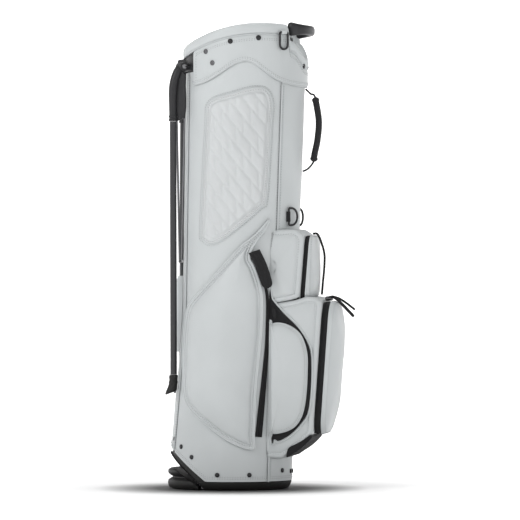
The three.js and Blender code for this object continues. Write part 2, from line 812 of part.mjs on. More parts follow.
// A bulging pocket front: rounded plates that shrink as they go out; fullness is for its top and bottom.
function pocketFront({ x, z0, z1, slope, level }, half, depth, out, fullness) {
  const levels = [
    [0, 1],
    [0.5, 0.97],
    [0.85, 0.84],
    [1, 0.62],
  ];
  const middle = (z0 + z1) / 2;
  const tall = (z1 - z0) / 2;
  const count = 28;
  const ringAt = ([f, k]) =>
    roundedShape(-half * k, middle - tall * k, half * k, middle + tall * k, 36 * k)
      .getSpacedPoints(count)
      .slice(0, count)
      .map((p) => {
        const share = lerp(fullness[1], fullness[0], (p.y - middle + tall) / (2 * tall));
        return new THREE.Vector3(x + depth + 2 * GAP + f * out * share, p.x, p.y);
      });
  return towerForm(loft(levels.map(ringAt)), slope, level);
}
add("ball_pocket", pocketFront(LOWER, LOWER_HALF, ZIP_BAND, 26, [0.85, 1.05]), leather);
add("valuables_pocket", pocketFront(UPPER, UPPER_HALF, ZIP_BAND - 3, 19, [0.4, 1.2]), leather);

// The cooler pocket on the tower's right side.
function sidePlate(corners, y, depth) {
  return towerForm(prismY(smoothOutline(corners, 26), depth, y - depth / 2), 0, 0);
}
const COOLER = [
  [82, 302],
  [110, 300],
  [138, 284],
  [150, 250],
  [151, 170],
  [140, 140],
  [110, 126],
  [82, 120],
];
const COOLER_ZIP = [
  [74, 336],
  [100, 326],
  [134, 306],
  [154, 276],
  [161, 230],
  [160, 160],
  [148, 128],
  [120, 110],
  [84, 104],
  [74, 112],
];
add("cooler_zip", cut(sidePlate(COOLER_ZIP, -TOWER_Y - GAP, 4), bodyCore, zipClearance), blackFabric);
add("cooler_pocket", cut(sidePlate(COOLER, -TOWER_Y - 4 - 2 * GAP, 12), bodyCore, zipClearance), leather);
add(
  "cooler_pull",
  towerForm(prismY([[94, 306], [101, 306], [101, 330], [94, 330]], 3, -TOWER_Y - 4 - 2.5), 0, 0),
  blackFabric,
);

// The ball pocket's two zip pulls and the valuables pocket's carrying loop.
for (const [name, side] of SIDES) {
  const x = LOWER.x + 14;
  const tip = side < 0 ? 330 : 343;
  add(
    "ball_pull_" + name,
    prismY(
      [
        [x, 369],
        [x + 8, 370],
        [x + 26, 367],
        [x + 52, tip + 3],
        [x + 50, tip - 3],
        [x + 20, 361.6],
        [x, 363.4],
      ],
      9,
      side * 9,
    ),
    blackFabric,
  );
}
add(
  "pocket_loop",
  bar(
    [
      [UPPER.x + 12, 0, 490],
      [UPPER.x + 22, 0, 487],
      [UPPER.x + 33, 0, 455],
      [UPPER.x + 34, 0, 430],
      [UPPER.x + 31, 0, 395],
      [UPPER.x + 29, 0, 372],
    ],
    2.2,
    12,
    8,
  ),
  blackFabric,
);

// ---------------------------------------------------------------- carry handle, strap rings
const GRIP = [
  [163, 0, 750],
  [170, 0, 706],
  [167.5, 0, 669],
  [162, 0, 642],
  [160, 0, 627],
];
const STRAP = [[144.6, 0, 766], [154, 0, 757], ...GRIP, [150, 0, 614], [139, 0, 608]];
const STRAP_R = 1.8;
add("grab_strap", bar(STRAP, STRAP_R, 26, 8), blackFabric);
add("grab_grip", cut(bar(GRIP, 6.5, 12, 10, 1.6), bar(STRAP, STRAP_R + GAP, 26, 8)), blackFabric);

// A D ring in its own plane: the straight bar on the left, the bow to the right.
function dShape(height, reach, thick) {
  const STEPS = 8;
  const outline = (inset) => {
    const h = height / 2 - inset;
    const bow = Array.from({ length: STEPS + 1 }, (_, i) => {
      const a = Math.PI * (i / STEPS - 0.5);
      return new THREE.Vector2(reach - height / 2 + h * Math.cos(a), h * Math.sin(a));
    });
    return [new THREE.Vector2(inset, -h), ...bow, new THREE.Vector2(inset, h)];
  };
  const shape = new THREE.Shape(outline(0));
  shape.holes.push(new THREE.Path(outline(thick)));
  return shape;
}
// A ring on a holder that its straight bar turns in, where the angle is measured from the back.
function ringSet({ degrees, z, gap, radius, height, reach, hanging }) {
  const angle = rad(degrees);
  const side = Math.sign(degrees);
  const seat = radius ? ringPoint(angle, radius, z) : surface(angle, z);
  const outward = new THREE.Vector3(Math.cos(angle), Math.sin(angle), 0);
  const towardsBack = new THREE.Vector3(Math.sin(angle) * side, -Math.cos(angle) * side, 0);
  const up = new THREE.Vector3(0, 0, 1);
  const [reachWay, barWay] = hanging ? [up.clone().negate(), towardsBack] : [towardsBack, up];
  const frame = new THREE.Matrix4().makeBasis(
    reachWay,
    barWay,
    new THREE.Vector3().crossVectors(reachWay, barWay),
  );
  const origin = seat.clone().addScaledVector(outward, gap);
  const placed = (geometry, shift = 0) => {
    geometry.applyMatrix4(frame);
    return geometry.translate(...origin.clone().addScaledVector(reachWay, shift).toArray());
  };
  const ring = new THREE.ExtrudeGeometry(dShape(height, reach, 3.6), { depth: 3.2, bevelEnabled: false });
  ring.translate(0, 0, -1.6);
  const width = height * 0.5;
  const holder = placed(new THREE.BoxGeometry(8, width, 2 * gap - 2 * GAP), 2);
  const slot = placed(new THREE.BoxGeometry(5.2, 2 * height, 5.2), 1.9);
  return { ring: placed(ring), holder: cut(holder, slot) };
}
for (const [name, side] of SIDES) {
  const set = ringSet({ degrees: side * 33, z: 521, gap: 5, height: 36, reach: 28 });
  add("d_ring_" + name, set.ring, blackPlastic);
  add("d_ring_holder_" + name, set.holder, blackPlastic);
}
export default bag;
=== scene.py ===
"""Looks of the golf stand bag: sewn leather, quilting, zips, moulded stand and a plain studio.

Lengths are in millimetres and become metres where a mesh is made. Angles are measured from the
bag's back (+X); side is -1 on the bag's right (towards the camera) and +1 on its left.
"""
import math

import bmesh
import bpy
import numpy as np
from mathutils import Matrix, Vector, noise


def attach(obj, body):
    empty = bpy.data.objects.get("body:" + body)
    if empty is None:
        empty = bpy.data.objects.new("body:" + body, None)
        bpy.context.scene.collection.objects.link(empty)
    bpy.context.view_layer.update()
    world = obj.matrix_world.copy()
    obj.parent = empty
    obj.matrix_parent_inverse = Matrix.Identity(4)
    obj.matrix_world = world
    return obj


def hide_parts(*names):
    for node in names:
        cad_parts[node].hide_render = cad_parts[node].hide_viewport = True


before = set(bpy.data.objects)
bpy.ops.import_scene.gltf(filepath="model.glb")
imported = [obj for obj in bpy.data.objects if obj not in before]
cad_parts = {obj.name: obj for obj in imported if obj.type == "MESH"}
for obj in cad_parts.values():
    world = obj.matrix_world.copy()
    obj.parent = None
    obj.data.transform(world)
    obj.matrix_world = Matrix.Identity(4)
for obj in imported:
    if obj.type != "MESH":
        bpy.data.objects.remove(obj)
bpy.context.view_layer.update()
MM = 0.001

# ---------------------------------------------------------------- driving sizes, as on the frame
STATION_Z = (0, 325, 900)
STATION_X = (-3, 16.5, 31)
STATION_R = (119.5, 110, 116.3)
OVAL = 6
COLLAR_X = 28.5
COLLAR_R = 119.4
PAD_R = 120.5
PAD_IN = 105
PAD_H = 22
FRONT_GAP = 140
LEG_PIVOT = (-87, 52, 808)
LEG_TOP = (-103, 60, 704)
LEG_END = (-103.5, 50, 217)
LEG_SPLAY = math.radians(30)
LINK_TOP = (-98, 48, 712)
ROD_X, ROD_LOW, ROD_HIGH = -98, 37.6, 436
FOOT_X = -2.0
TOWER_Y = 80
TAPER = 0.001
LOWER = {"x": 175, "slope": 0.07, "level": 240, "z0": 105, "z1": 360, "half": 69, "band": 14}
UPPER = {"x": 147, "slope": 0.08, "level": 420, "z0": 362, "z1": 486, "half": 72, "band": 8}
SEAMS = {"back": 44, "front": 152.2}
SEAM_SPREAD = 0.036
HEM_Z, HEM_CUT_X, HEM_SLOPE = 17, -30, 0.76
WAVE_X, WAVE_FRONT, WAVE_BACK = 45, 62, 50
SKIRT_LOW, SKIRT_RISE = 770, 47
PANEL_TOP, PANEL_RISE = 796, 28
DIP_END, DIP_START = 36, 40
DIVIDER_X = {"front": -42, "rear": 43}
BAR_Z = 835
SIDES = (("right", -1), ("left", 1))


# ---------------------------------------------------------------- materials
def node_material(name, colour, roughness, metallic=0.0):
    material = bpy.data.materials.new(name)
    material.use_nodes = True
    nodes, links = material.node_tree.nodes, material.node_tree.links
    shader = nodes["Principled BSDF"]
    shader.inputs["Base Color"].default_value = (*colour, 1)
    shader.inputs["Roughness"].default_value = roughness
    shader.inputs["Metallic"].default_value = metallic
    place = nodes.new("ShaderNodeTexCoord").outputs["Object"]
    return material, nodes, links, shader, place


def add_texture(nodes, links, place, kind, scale, detail=2.0):
    texture = nodes.new(f"ShaderNodeTex{kind}")
    texture.inputs["Scale"].default_value = scale
    if "Detail" in texture.inputs:
        texture.inputs["Detail"].default_value = detail
    links.new(place, texture.inputs["Vector"])
    return texture


def add_range(nodes, links, source, low, high):
    ranged = nodes.new("ShaderNodeMapRange")
    ranged.inputs["To Min"].default_value = low
    ranged.inputs["To Max"].default_value = high
    links.new(source, ranged.inputs["Value"])
    return ranged.outputs["Result"]


def add_bump(nodes, links, source, shader, depth, strength=1.0, previous=None):
    bump = nodes.new("ShaderNodeBump")
    bump.inputs["Distance"].default_value = depth
    bump.inputs["Strength"].default_value = strength
    links.new(source, bump.inputs["Height"])
    if previous:
        links.new(previous, bump.inputs["Normal"])
    links.new(bump.outputs["Normal"], shader.inputs["Normal"])
    return bump.outputs["Normal"]


def tint(nodes, links, source, colour, dark, light, shader):
    ramp = nodes.new("ShaderNodeValToRGB")
    ramp.color_ramp.elements[0].position = 0.3
    ramp.color_ramp.elements[1].position = 0.7
    ramp.color_ramp.elements[0].color = (*[c * dark for c in colour], 1)
    ramp.color_ramp.elements[1].color = (*[c * light for c in colour], 1)
    links.new(source, ramp.inputs["Fac"])
    links.new(ramp.outputs["Color"], shader.inputs["Base Color"])


def leather_material(name, colour, grain=620, depth=0.00012):
    """Grained leather: small pebbles, finer pores and a slow drift in tone and gloss."""
    material, nodes, links, shader, place = node_material(name, colour, 0.46)
    cloud = add_texture(nodes, links, place, "Noise", 9, 4)
    tint(nodes, links, cloud.outputs["Fac"], colour, 0.955, 1.03, shader)
    links.new(add_range(nodes, links, cloud.outputs["Fac"], 0.4, 0.54), shader.inputs["Roughness"])
    pebbles = add_texture(nodes, links, place, "Voronoi", grain)
    coarse = add_bump(nodes, links, pebbles.outputs["Distance"], shader, depth, 0.55)
    pores = add_texture(nodes, links, place, "Noise", grain * 3.2, 3)
    add_bump(nodes, links, pores.outputs["Fac"], shader, depth * 0.6, 0.4, coarse)
    shader.inputs["Specular IOR Level"].default_value = 0.42
    return material


def woven_material(name, colour, pitch=1500):
    """Close weave: two crossed sets of threads."""
    material, nodes, links, shader, place = node_material(name, colour, 0.78)
    warp = add_texture(nodes, links, place, "Wave", pitch / 3, 0)
    weft = add_texture(nodes, links, place, "Wave", pitch / 3, 0)
    weft.bands_direction = "Z"
    mixed = nodes.new("ShaderNodeMath")
    mixed.operation = "MAXIMUM"
    links.new(warp.outputs["Fac"], mixed.inputs[0])
    links.new(weft.outputs["Fac"], mixed.inputs[1])
    add_bump(nodes, links, mixed.outputs["Value"], shader, 0.00025, 0.7)
    tint(nodes, links, mixed.outputs["Value"], colour, 0.6, 1.5, shader)
    shader.inputs["Sheen Weight"].default_value = 0.03
    shader.inputs["Specular IOR Level"].default_value = 0.2
    return material


def moulded_material(name, colour, roughness, grain=700, depth=0.00008):
    """Moulded plastic or rubber with a fine spark texture and faint scuffs."""
    material, nodes, links, shader, place = node_material(name, colour, roughness)
    spark = add_texture(nodes, links, place, "Noise", grain, 3)
    add_bump(nodes, links, spark.outputs["Fac"], shader, depth, 0.8)
    scuff = add_texture(nodes, links, place, "Noise", 22, 5)
    tint(nodes, links, scuff.outputs["Fac"], colour, 0.85, 1.25, shader)
    links.new(add_range(nodes, links, scuff.outputs["Fac"], roughness - 0.07, roughness + 0.08),
              shader.inputs["Roughness"])
    shader.inputs["Specular IOR Level"].default_value = 0.3
    return material


def metal_material(name, colour, roughness, metallic):
    """Drawn tube or wire: fine lines along its length, which stands upright."""
    material, nodes, links, shader, place = node_material(name, colour, roughness, metallic)
    stretch = nodes.new("ShaderNodeMapping")
    stretch.inputs["Scale"].default_value = (1, 1, 0.02)
    links.new(place, stretch.inputs["Vector"])
    lines = add_texture(nodes, links, stretch.outputs["Vector"], "Noise", 900, 2)
    add_bump(nodes, links, lines.outputs["Fac"], shader, 0.00005, 0.5)
    links.new(add_range(nodes, links, lines.outputs["Fac"], roughness - 0.06, roughness + 0.1),
              shader.inputs["Roughness"])
    return material


LEATHER = (0.41, 0.43, 0.435)
THREAD = (0.11, 0.115, 0.12)
MATERIALS = {
    "leather": leather_material("leather", LEATHER),
    "quilted_leather": leather_material("quilted_leather", (0.43, 0.445, 0.45), grain=760),
    "thread": woven_material("thread", THREAD, 2400),
    "lining": woven_material("lining", (0.035, 0.035, 0.04), 900),
    "zip_tape": woven_material("zip_tape", (0.0075, 0.0075, 0.008)),
    "webbing": woven_material("webbing", (0.009, 0.009, 0.0095), 1100),
    "grip_fabric": woven_material("grip_fabric", (0.012, 0.012, 0.013), 800),
    "black_rubber": moulded_material("black_rubber", (0.009, 0.009, 0.0085), 0.55),
    "black_plastic": moulded_material("black_plastic", (0.014, 0.014, 0.0155), 0.42),
    "black_tube": metal_material("black_tube", (0.026, 0.026, 0.028), 0.34, 0.35),
    "dark_steel": metal_material("dark_steel", (0.14, 0.14, 0.145), 0.3, 1.0),
}


# ---------------------------------------------------------------- points and curves
def turn(count):
    """Angles evenly spaced round one full turn."""
    return np.linspace(0, 2 * np.pi, count, endpoint=False)


def unit(vector):
    return vector / np.linalg.norm(vector)


def square_to(ahead):
    """Unit vectors to the left of each 2-D direction."""
    ahead = ahead / np.linalg.norm(ahead, axis=1)[:, None]
    return np.stack([-ahead[:, 1], ahead[:, 0]], -1)


def squash(value, power):
    """Turns a sine or cosine into that of a rounded square, and keeps its sign."""
    return np.sign(value) * np.abs(value) ** power


def across_bag(flat, y):
    """An [x, z] line placed at a distance y across the bag."""
    return np.stack([flat[:, 0], np.full(len(flat), y), flat[:, 1]], -1)


def station(z, values):
    """A body value at a height, with the change of slope eased over 80 mm."""
    z = np.asarray(z, float)
    return sum(np.interp(z + shift, STATION_Z, values) for shift in (-40, -20, 0, 20, 40)) / 5


def body_point(angle, z, offset=0.0):
    angle, z = np.broadcast_arrays(np.asarray(angle, float), np.asarray(z, float))
    r = station(z, STATION_R) + offset
    return np.stack([station(z, STATION_X) + r * np.cos(angle), (r - OVAL) * np.sin(angle), z], -1)


def side_point(x, z, side, offset=0.0):
    """The body's surface at a distance x from the origin, in side view."""
    across = (np.asarray(x, float) - station(z, STATION_X)) / station(z, STATION_R)
    return body_point(side * np.arccos(np.clip(across, -1, 1)), z, offset)


def on_side(flat, side, offset):
    """An [x, z] line laid on the body's side."""
    return side_point(flat[:, 0], flat[:, 1], side, offset)


def collar_point(angle, r, z):
    angle, r, z = np.broadcast_arrays(np.asarray(angle, float), np.asarray(r, float), np.asarray(z, float))
    return np.stack([COLLAR_X + r * np.cos(angle), (r - OVAL) * np.sin(angle), z], -1)


def smoothstep(value, low, high):
    t = np.clip((np.asarray(value, float) - low) / (high - low), 0, 1)
    return t * t * (3 - 2 * t)


def hem(x):
    return HEM_Z + np.maximum(0, (HEM_CUT_X - np.asarray(x, float)) * HEM_SLOPE)


def wave(x):
    x = np.asarray(x, float)
    return np.exp(-(((x - WAVE_X) / np.where(x < WAVE_X, WAVE_FRONT, WAVE_BACK)) ** 2))


def rim_top(angle):
    """Top of the padded rim: highest near the back, with a dip under the lift handle."""
    from_back = np.degrees(np.abs(np.arctan2(np.sin(angle), np.cos(angle))))
    x = COLLAR_X + PAD_R * np.cos(angle)
    low = 826 + 31 * smoothstep(from_back, 8, DIP_END)
    crown = 889 - 0.0015 * (x - 80) ** 2
    return low + (crown - low) * smoothstep(from_back, DIP_END, DIP_START)


def spline(points, count, closed=False):
    """A smooth curve through the points, evenly spaced."""
    points = np.asarray(points, float)
    if closed:
        padded = np.concatenate([points[-1:], points, points[:2]])
    else:
        padded = np.concatenate([2 * points[:1] - points[1:2], points, 2 * points[-1:] - points[-2:-1]])
    t = np.linspace(0, 1, 24, endpoint=False)[:, None]
    parts = []
    for a, b, c, d in zip(padded, padded[1:], padded[2:], padded[3:]):
        parts.append(0.5 * (2 * b + (c - a) * t + (2 * a - 5 * b + 4 * c - d) * t**2
                            + (3 * b - a - 3 * c + d) * t**3))
    line = np.concatenate(parts + [points[:1] if closed else points[-1:]])
    return evenly(line, count, closed)


def evenly(line, count, closed=False):
    line = np.asarray(line, float)
    lengths = np.concatenate([[0], np.cumsum(np.linalg.norm(np.diff(line, axis=0), axis=1))])
    at = np.linspace(0, lengths[-1], count, endpoint=not closed)
    return np.stack([np.interp(at, lengths, line[:, k]) for k in range(line.shape[1])], -1)


def rounded_rect(half, z0, z1, corner, count):
    """Evenly spaced points round a rectangle with round corners, in Y and Z."""
    arcs = []
    for cy, cz, start in ((half - corner, z1 - corner, 0), (corner - half, z1 - corner, 90),
                          (corner - half, z0 + corner, 180), (half - corner, z0 + corner, 270)):
        a = np.radians(np.linspace(start, start + 90, 10))
        arcs.append(np.stack([cy + corner * np.cos(a), cz + corner * np.sin(a)], -1))
    line = np.concatenate(arcs + [arcs[0][:1]])
    return evenly(line, count, closed=True)


def wobble(points, size, scale, seed=0.0):
    """Soft unevenness, the same each run."""
    return np.array([noise.noise(Vector(p * scale) + Vector((seed, 0, 0))) for p in points]) * size


# ---------------------------------------------------------------- meshes
def piece(name, verts, faces, slot, body="bag", hides=(), sharp=42, material=None):
    mesh = bpy.data.meshes.new(name)
    mesh.from_pydata((np.asarray(verts, float) * MM).tolist(), [], [list(map(int, f)) for f in faces])
    edit = bmesh.new()
    edit.from_mesh(mesh)
    bmesh.ops.remove_doubles(edit, verts=edit.verts, dist=1e-6)
    bmesh.ops.dissolve_degenerate(edit, edges=edit.edges, dist=1e-7)
    bmesh.ops.recalc_face_normals(edit, faces=edit.faces)
    edit.to_mesh(mesh)
    edit.free()
    mesh.shade_smooth()
    mesh.set_sharp_from_angle(angle=math.radians(sharp))
    mesh.materials.append(material or MATERIALS[slot])
    made = bpy.data.objects.new(name, mesh)
    bpy.context.scene.collection.objects.link(made)
    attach(made, body)
    if hides:
        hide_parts(*hides)
    return made


def loft(rows, wrap=False, closed=True, caps=True):
    """Faces between equal rows of points; closed rows are loops, and end loops get a fan."""
    rows = np.asarray(rows, float)
    count, n = rows.shape[:2]
    verts = list(rows.reshape(-1, 3))
    faces = []
    for r in range(count if wrap else count - 1):
        a, b = r * n, ((r + 1) % count) * n
        for i in range(n if closed else n - 1):
            j = (i + 1) % n
            faces.append((a + i, a + j, b + j, b + i))
    if caps and closed and not wrap:
        for start, row in ((0, rows[0]), ((count - 1) * n, rows[-1])):
            verts.append(row.mean(axis=0))
            centre = len(verts) - 1
            faces += [(start + i, start + (i + 1) % n, centre) for i in range(n)]
    return np.array(verts), faces


def together(parts):
    """One mesh from several (verts, faces) parts."""
    verts, faces, shift = [], [], 0
    for v, f in parts:
        verts.append(np.asarray(v))
        faces += [[i + shift for i in face] for face in f]
        shift += len(v)
    return np.concatenate(verts), faces


def tube(points, radius, sides=14, closed=False, flat=1.0, start=None):
    """A bar along points; radius is a number or one per point, and flat widens it sideways."""
    points = np.asarray(points, float)
    n = len(points)
    radius = np.broadcast_to(np.asarray(radius, float), (n,))
    if closed:
        ahead = np.roll(points, -1, 0) - np.roll(points, 1, 0)
    else:
        ahead = np.gradient(points, axis=0)
    ahead = ahead / np.linalg.norm(ahead, axis=1)[:, None]
    side = np.cross(ahead[0], start if start is not None else (0, 1, 0.01))
    rows = []
    around = turn(sides)
    for p, t, r in zip(points, ahead, radius):
        side = side - t * np.dot(side, t)
        side = unit(side)
        other = np.cross(t, side)
        rows.append(p + r * (np.cos(around)[:, None] * side + flat * np.sin(around)[:, None] * other))
    return loft(rows, wrap=closed)


def circle_about(axis, count):
    """Points of a circle of radius 1 square to a unit axis."""
    side = unit(np.cross(axis, (0, 0, 1) if abs(axis[2]) < 0.9 else (1, 0, 0)))
    around = turn(count)
    return np.cos(around)[:, None] * side + np.sin(around)[:, None] * np.cross(axis, side)


def drum(centre, axis, radius, half, sides=32, bevel=0.8, bore=0.0):
    """A short cylinder with eased edges, along any axis."""
    centre, axis = np.asarray(centre, float), np.asarray(axis, float)
    axis = unit(axis)
    circle = circle_about(axis, sides)
    outline = [(-half, radius - bevel), (-half + bevel, radius), (half - bevel, radius),
               (half, radius - bevel)]
    if bore:
        outline += [(half, bore), (-half, bore)]
    rows = [centre + axis * h + r * circle for h, r in outline]
    return loft(rows, wrap=bool(bore))


STITCHES = {}


def stitch(points, body="bag", length=3.6, gap=1.3, radius=0.5):
    """Sewing along a line: one small raised thread for each stitch."""
    points = np.asarray(points, float)
    total = np.linalg.norm(np.diff(points, axis=0), axis=1).sum()
    count = max(1, int(total / (length + gap)))
    line = evenly(points, count * 2 + 1)
    for a, b in zip(line[0::2], line[1::2]):
        ahead = (b - a) / max(np.linalg.norm(b - a), 1e-9)
        side = np.cross(ahead, (0.3, 0.5, 0.8))
        side = unit(side)
        other = np.cross(ahead, side)
        middle = (a + b) / 2
        ring = [middle + radius * v for v in (side, other, -side, -other)]
        verts = [a, *ring, b]
        faces = [(0, i, i % 4 + 1) for i in range(1, 5)] + [(5, i % 4 + 1, i) for i in range(1, 5)]
        STITCHES.setdefault(body, []).append((np.array(verts), faces))


PIPING = []


def pipe(points, radius=1.5, closed=False):
    PIPING.append(tube(points, radius, 8, closed))


# ---------------------------------------------------------------- leather body
def panel(name, low_angle, high_angle):
    """One body panel: pulled in at its seams, turned up at the hem, slightly uneven."""
    angles = np.radians(np.arange(low_angle, high_angle + 0.01, (high_angle - low_angle) / 44))
    rows = []
    for a in angles:
        bottom = float(hem(body_point(a, 60)[0]))
        top = PANEL_TOP + PANEL_RISE * float(wave(body_point(a, 800)[0]))
        z = np.linspace(bottom, top, 100)
        edge = min(a - angles[0], angles[-1] - a) * 112
        seam = -2.2 * math.exp(-(edge / 2.6) ** 2)
        turned = 0.7 * np.exp(-((z - bottom) / 9) ** 4)
        outside = body_point(a, z)
        soft = wobble(outside, 0.9, 0.014) * smoothstep(edge, 0, 25)
        outside = body_point(a, z, seam + turned + soft - 0.4)
        inside = body_point(a, z, -3)
        rows.append(np.concatenate([outside, inside[::-1]]))
    piece(name + "_skin", *loft(rows), "leather", hides=[name])


def body():
    back, front = SEAMS["back"], SEAMS["front"]
    panel("back_panel", -back, back)
    panel("left_side_panel", back + 0.3, front - 0.2)
    panel("front_panel", front + 0.1, 359.9 - front)
    panel("right_side_panel", 360.2 - front, 359.7 - back)
    for side in (-1, 1):
        for seam, low, high in ((back + 0.15, 16, 772), (front - 0.1, 76, 790)):
            a = side * math.radians(seam)
            z = np.linspace(low, high, 120)
            pipe(body_point(a, z, -0.1), 1.5)
            for shift in (-SEAM_SPREAD, SEAM_SPREAD):
                stitch(body_point(a + shift, z[2:], 0.25))
    around = np.radians(np.linspace(0, 360, 361))
    base = hem(body_point(around, 60)[:, 0])
    for lift in (5.5, 9):
        stitch(body_point(around, base + lift, 0.45))


def collar():
    """Skirt with a wavy sewn edge, and the padded rim above it."""
    angles = np.radians(np.linspace(-FRONT_GAP, FRONT_GAP, 200))
    rows = []
    for a in angles:
        x = float(collar_point(a, COLLAR_R, 0)[0])
        low = SKIRT_LOW + SKIRT_RISE * float(wave(x))
        high = float(rim_top(a)) - PAD_H - 0.4
        z = np.linspace(low, high, 22)
        edge = min(a - angles[0], angles[-1] - a) * 118
        roll = -1.6 * np.exp(-((z - low) / 1.6) ** 2) - 1.2 * np.exp(-((high - z) / 2.5) ** 2)
        lip = 0.5 * np.exp(-((z - low - 4) / 4) ** 2)
        front_roll = -1.5 * math.exp(-(edge / 2) ** 2)
        outside = collar_point(a, COLLAR_R + roll + lip + front_roll, z)
        rows.append(np.concatenate([outside, collar_point(a, COLLAR_R - 2.8, z)[::-1]]))
    piece("collar_skirt_skin", *loft(rows), "leather", hides=["collar_skirt"])
    low = SKIRT_LOW + SKIRT_RISE * wave(collar_point(angles, COLLAR_R, 0)[:, 0])
    high = rim_top(angles) - PAD_H
    for lift in (3.2, 6.2):
        stitch(collar_point(angles, COLLAR_R + 0.55, low + lift))
    pipe(collar_point(angles, COLLAR_R - 1.6, low - 0.6), 1.2)
    stitch(collar_point(angles[4:-4], COLLAR_R + 0.2, high[4:-4] - 8))
    stitch(collar_point(angles[4:-4], COLLAR_R + 0.2, high[4:-4] - 11))
    for end in (4, -5):
        z = np.linspace(low[end] + 6, high[end] - 9, 12)
        stitch(collar_point(angles[end], COLLAR_R + 0.3, z))

    around = turn(28)
    rows = []
    for a in np.radians(np.arange(0, 360, 1.5)):
        top = float(rim_top(a))
        middle, half_wide, half_tall = (PAD_R + PAD_IN) / 2, (PAD_R - PAD_IN) / 2, PAD_H / 2
        power = 0.72
        r = middle + half_wide * squash(np.cos(around), power)
        z = top - half_tall + half_tall * squash(np.sin(around), power)
        point = collar_point(a, r, z)
        outward = np.array([math.cos(a), math.sin(a), 0.4])
        rows.append(point + wobble(point, 0.5, 0.03, 5)[:, None] * outward)
    pad = piece("collar_pad_skin", *loft(rows, wrap=True), "leather", hides=["collar_pad"])
    loop = np.radians(np.arange(0, 360, 2))
    pipe(collar_point(loop, PAD_R - 1.5, rim_top(loop) - PAD_H + 0.6), 1.2, closed=True)


RIVET_BLACK = [(-6, 853.5), (20, 860), (77, 809)]
RIVET_RING = [(-31.5, 835), (-24, 813)]
RIVET_BASE = [(-64, 96), (-48, 82), (-32, 63), (-4, 30), (26, 30), (65, 37), (95, 34)]


def rivet(centre, outward, radius=4.7, ring=False):
    """A domed rivet head; the ring kind is hollow in the middle."""
    outward = np.asarray(outward, float) / np.linalg.norm(outward)
    circle = circle_about(outward, 24)
    if ring:
        outline = [(1, -1), (1, 0.6), (0.86, 1.4), (0.62, 1.3), (0.5, 0.2), (0.34, 0.2),
                   (0.3, 0.9), (0.12, 1)]
    else:
        outline = [(1, -1), (1, 0.5), (0.9, 1.1), (0.6, 1.7), (0.25, 2)]
    return loft([centre + outward * h + radius * f * circle for f, h in outline])


def rivets():
    black, steel = [], []
    for side in (-1, 1):
        for phi, z in RIVET_BLACK + RIVET_RING:
            a = side * math.radians(90 - phi)
            spot, out = collar_point(a, COLLAR_R, z), (math.cos(a), math.sin(a), 0)
            ring = (phi, z) in RIVET_RING
            (steel if ring else black).append(rivet(spot, out, 5.0, ring))
        for phi, z in RIVET_BASE:
            a = side * math.radians(90 - phi)
            black.append(rivet(body_point(a, z, 0.2), (math.cos(a), math.sin(a), 0), 4.5))
    piece("rivets_black", *together(black), "black_plastic")
    piece("rivets_ring", *together(steel), "dark_steel")


# ---------------------------------------------------------------- patches on the side
APPAREL = [(86, 517), (61, 488), (36, 467), (11, 440), (-13, 413), (-50, 375), (-72, 347), (-80, 300),
           (-81, 240), (-78, 188), (-67, 158), (-30, 124), (15, 92), (57, 78), (59.5, 110), (62.5, 189),
           (69.5, 265), (73, 310), (74, 362), (70, 392), (60, 425), (52, 444), (62, 470), (82, 500)]
ZIP_LINE = [(62, 447), (72, 420), (79, 389), (82.5, 362), (82, 310), (80.5, 265), (74, 185), (66.5, 102)]
QUILT = [(-33, 693), (-26, 738), (20, 755), (61, 765), (83, 761), (92, 738), (90, 693), (81, 556),
         (71, 538), (27, 498), (-3, 476), (-24, 469), (-40, 478), (-44, 500)]


def edge_distance(points, outline):
    """How far each [x, z] point is from a closed outline."""
    a, b = outline, np.roll(outline, -1, 0)
    best = np.full(len(points), 1e9)
    for start, end in zip(a, b):
        along = end - start
        t = np.clip(((points - start) @ along) / max(along @ along, 1e-9), 0, 1)
        best = np.minimum(best, np.linalg.norm(points - (start + t[:, None] * along), axis=1))
    return best


def side_patch(name, outline, side, height, slot, hides, step=3.0, columns=60):
    """A piece sewn to the side, from an [x, z] outline and a height for each distance to its edge."""
    outline = np.asarray(outline, float)
    low, high = outline[:, 1].min(), outline[:, 1].max()
    levels = np.linspace(low + 0.05, high - 0.05, max(12, int((high - low) / step)))
    rows = []
    for z in levels:
        crossings = []
        for p, q in zip(outline, np.roll(outline, -1, 0)):
            if (p[1] - z) * (q[1] - z) <= 0 and p[1] != q[1]:
                crossings.append(p[0] + (q[0] - p[0]) * (z - p[1]) / (q[1] - p[1]))
        left, right = min(crossings), max(crossings)
        x = left + (right - left) * (1 - np.cos(np.linspace(0, np.pi, columns))) / 2
        flat = np.stack([x, np.full(columns, z)], -1)
        lift = height(x, flat[:, 1], edge_distance(flat, outline))
        top = side_point(x, flat[:, 1], side, lift)
        under = side_point(x, flat[:, 1], side, 0.15)
        rows.append(np.concatenate([top, under[::-1]]))
    return piece(name, *loft(rows), slot, hides=hides)


def pocket_height(x, z, distance):
    """Flat sewn border, a groove at its seam, then a full soft front."""
    border = 4.8 - 1.8 * np.exp(-(distance / 1.6) ** 2)
    groove = -2.0 * np.exp(-((distance - 9) / 1.6) ** 2) - 1.3 * np.exp(-((distance - 4.6) / 1.1) ** 2)
    full = 13.5 * (1 - np.exp(-np.maximum(0, distance - 9) / 30))
    soft = wobble(np.stack([x, z, 0 * x], -1), 1.6, 0.016, 3) * smoothstep(distance, 8, 40)
    return border + groove + full + soft


QUILT_PITCH = 27
QUILT_SLOPE = 1.25


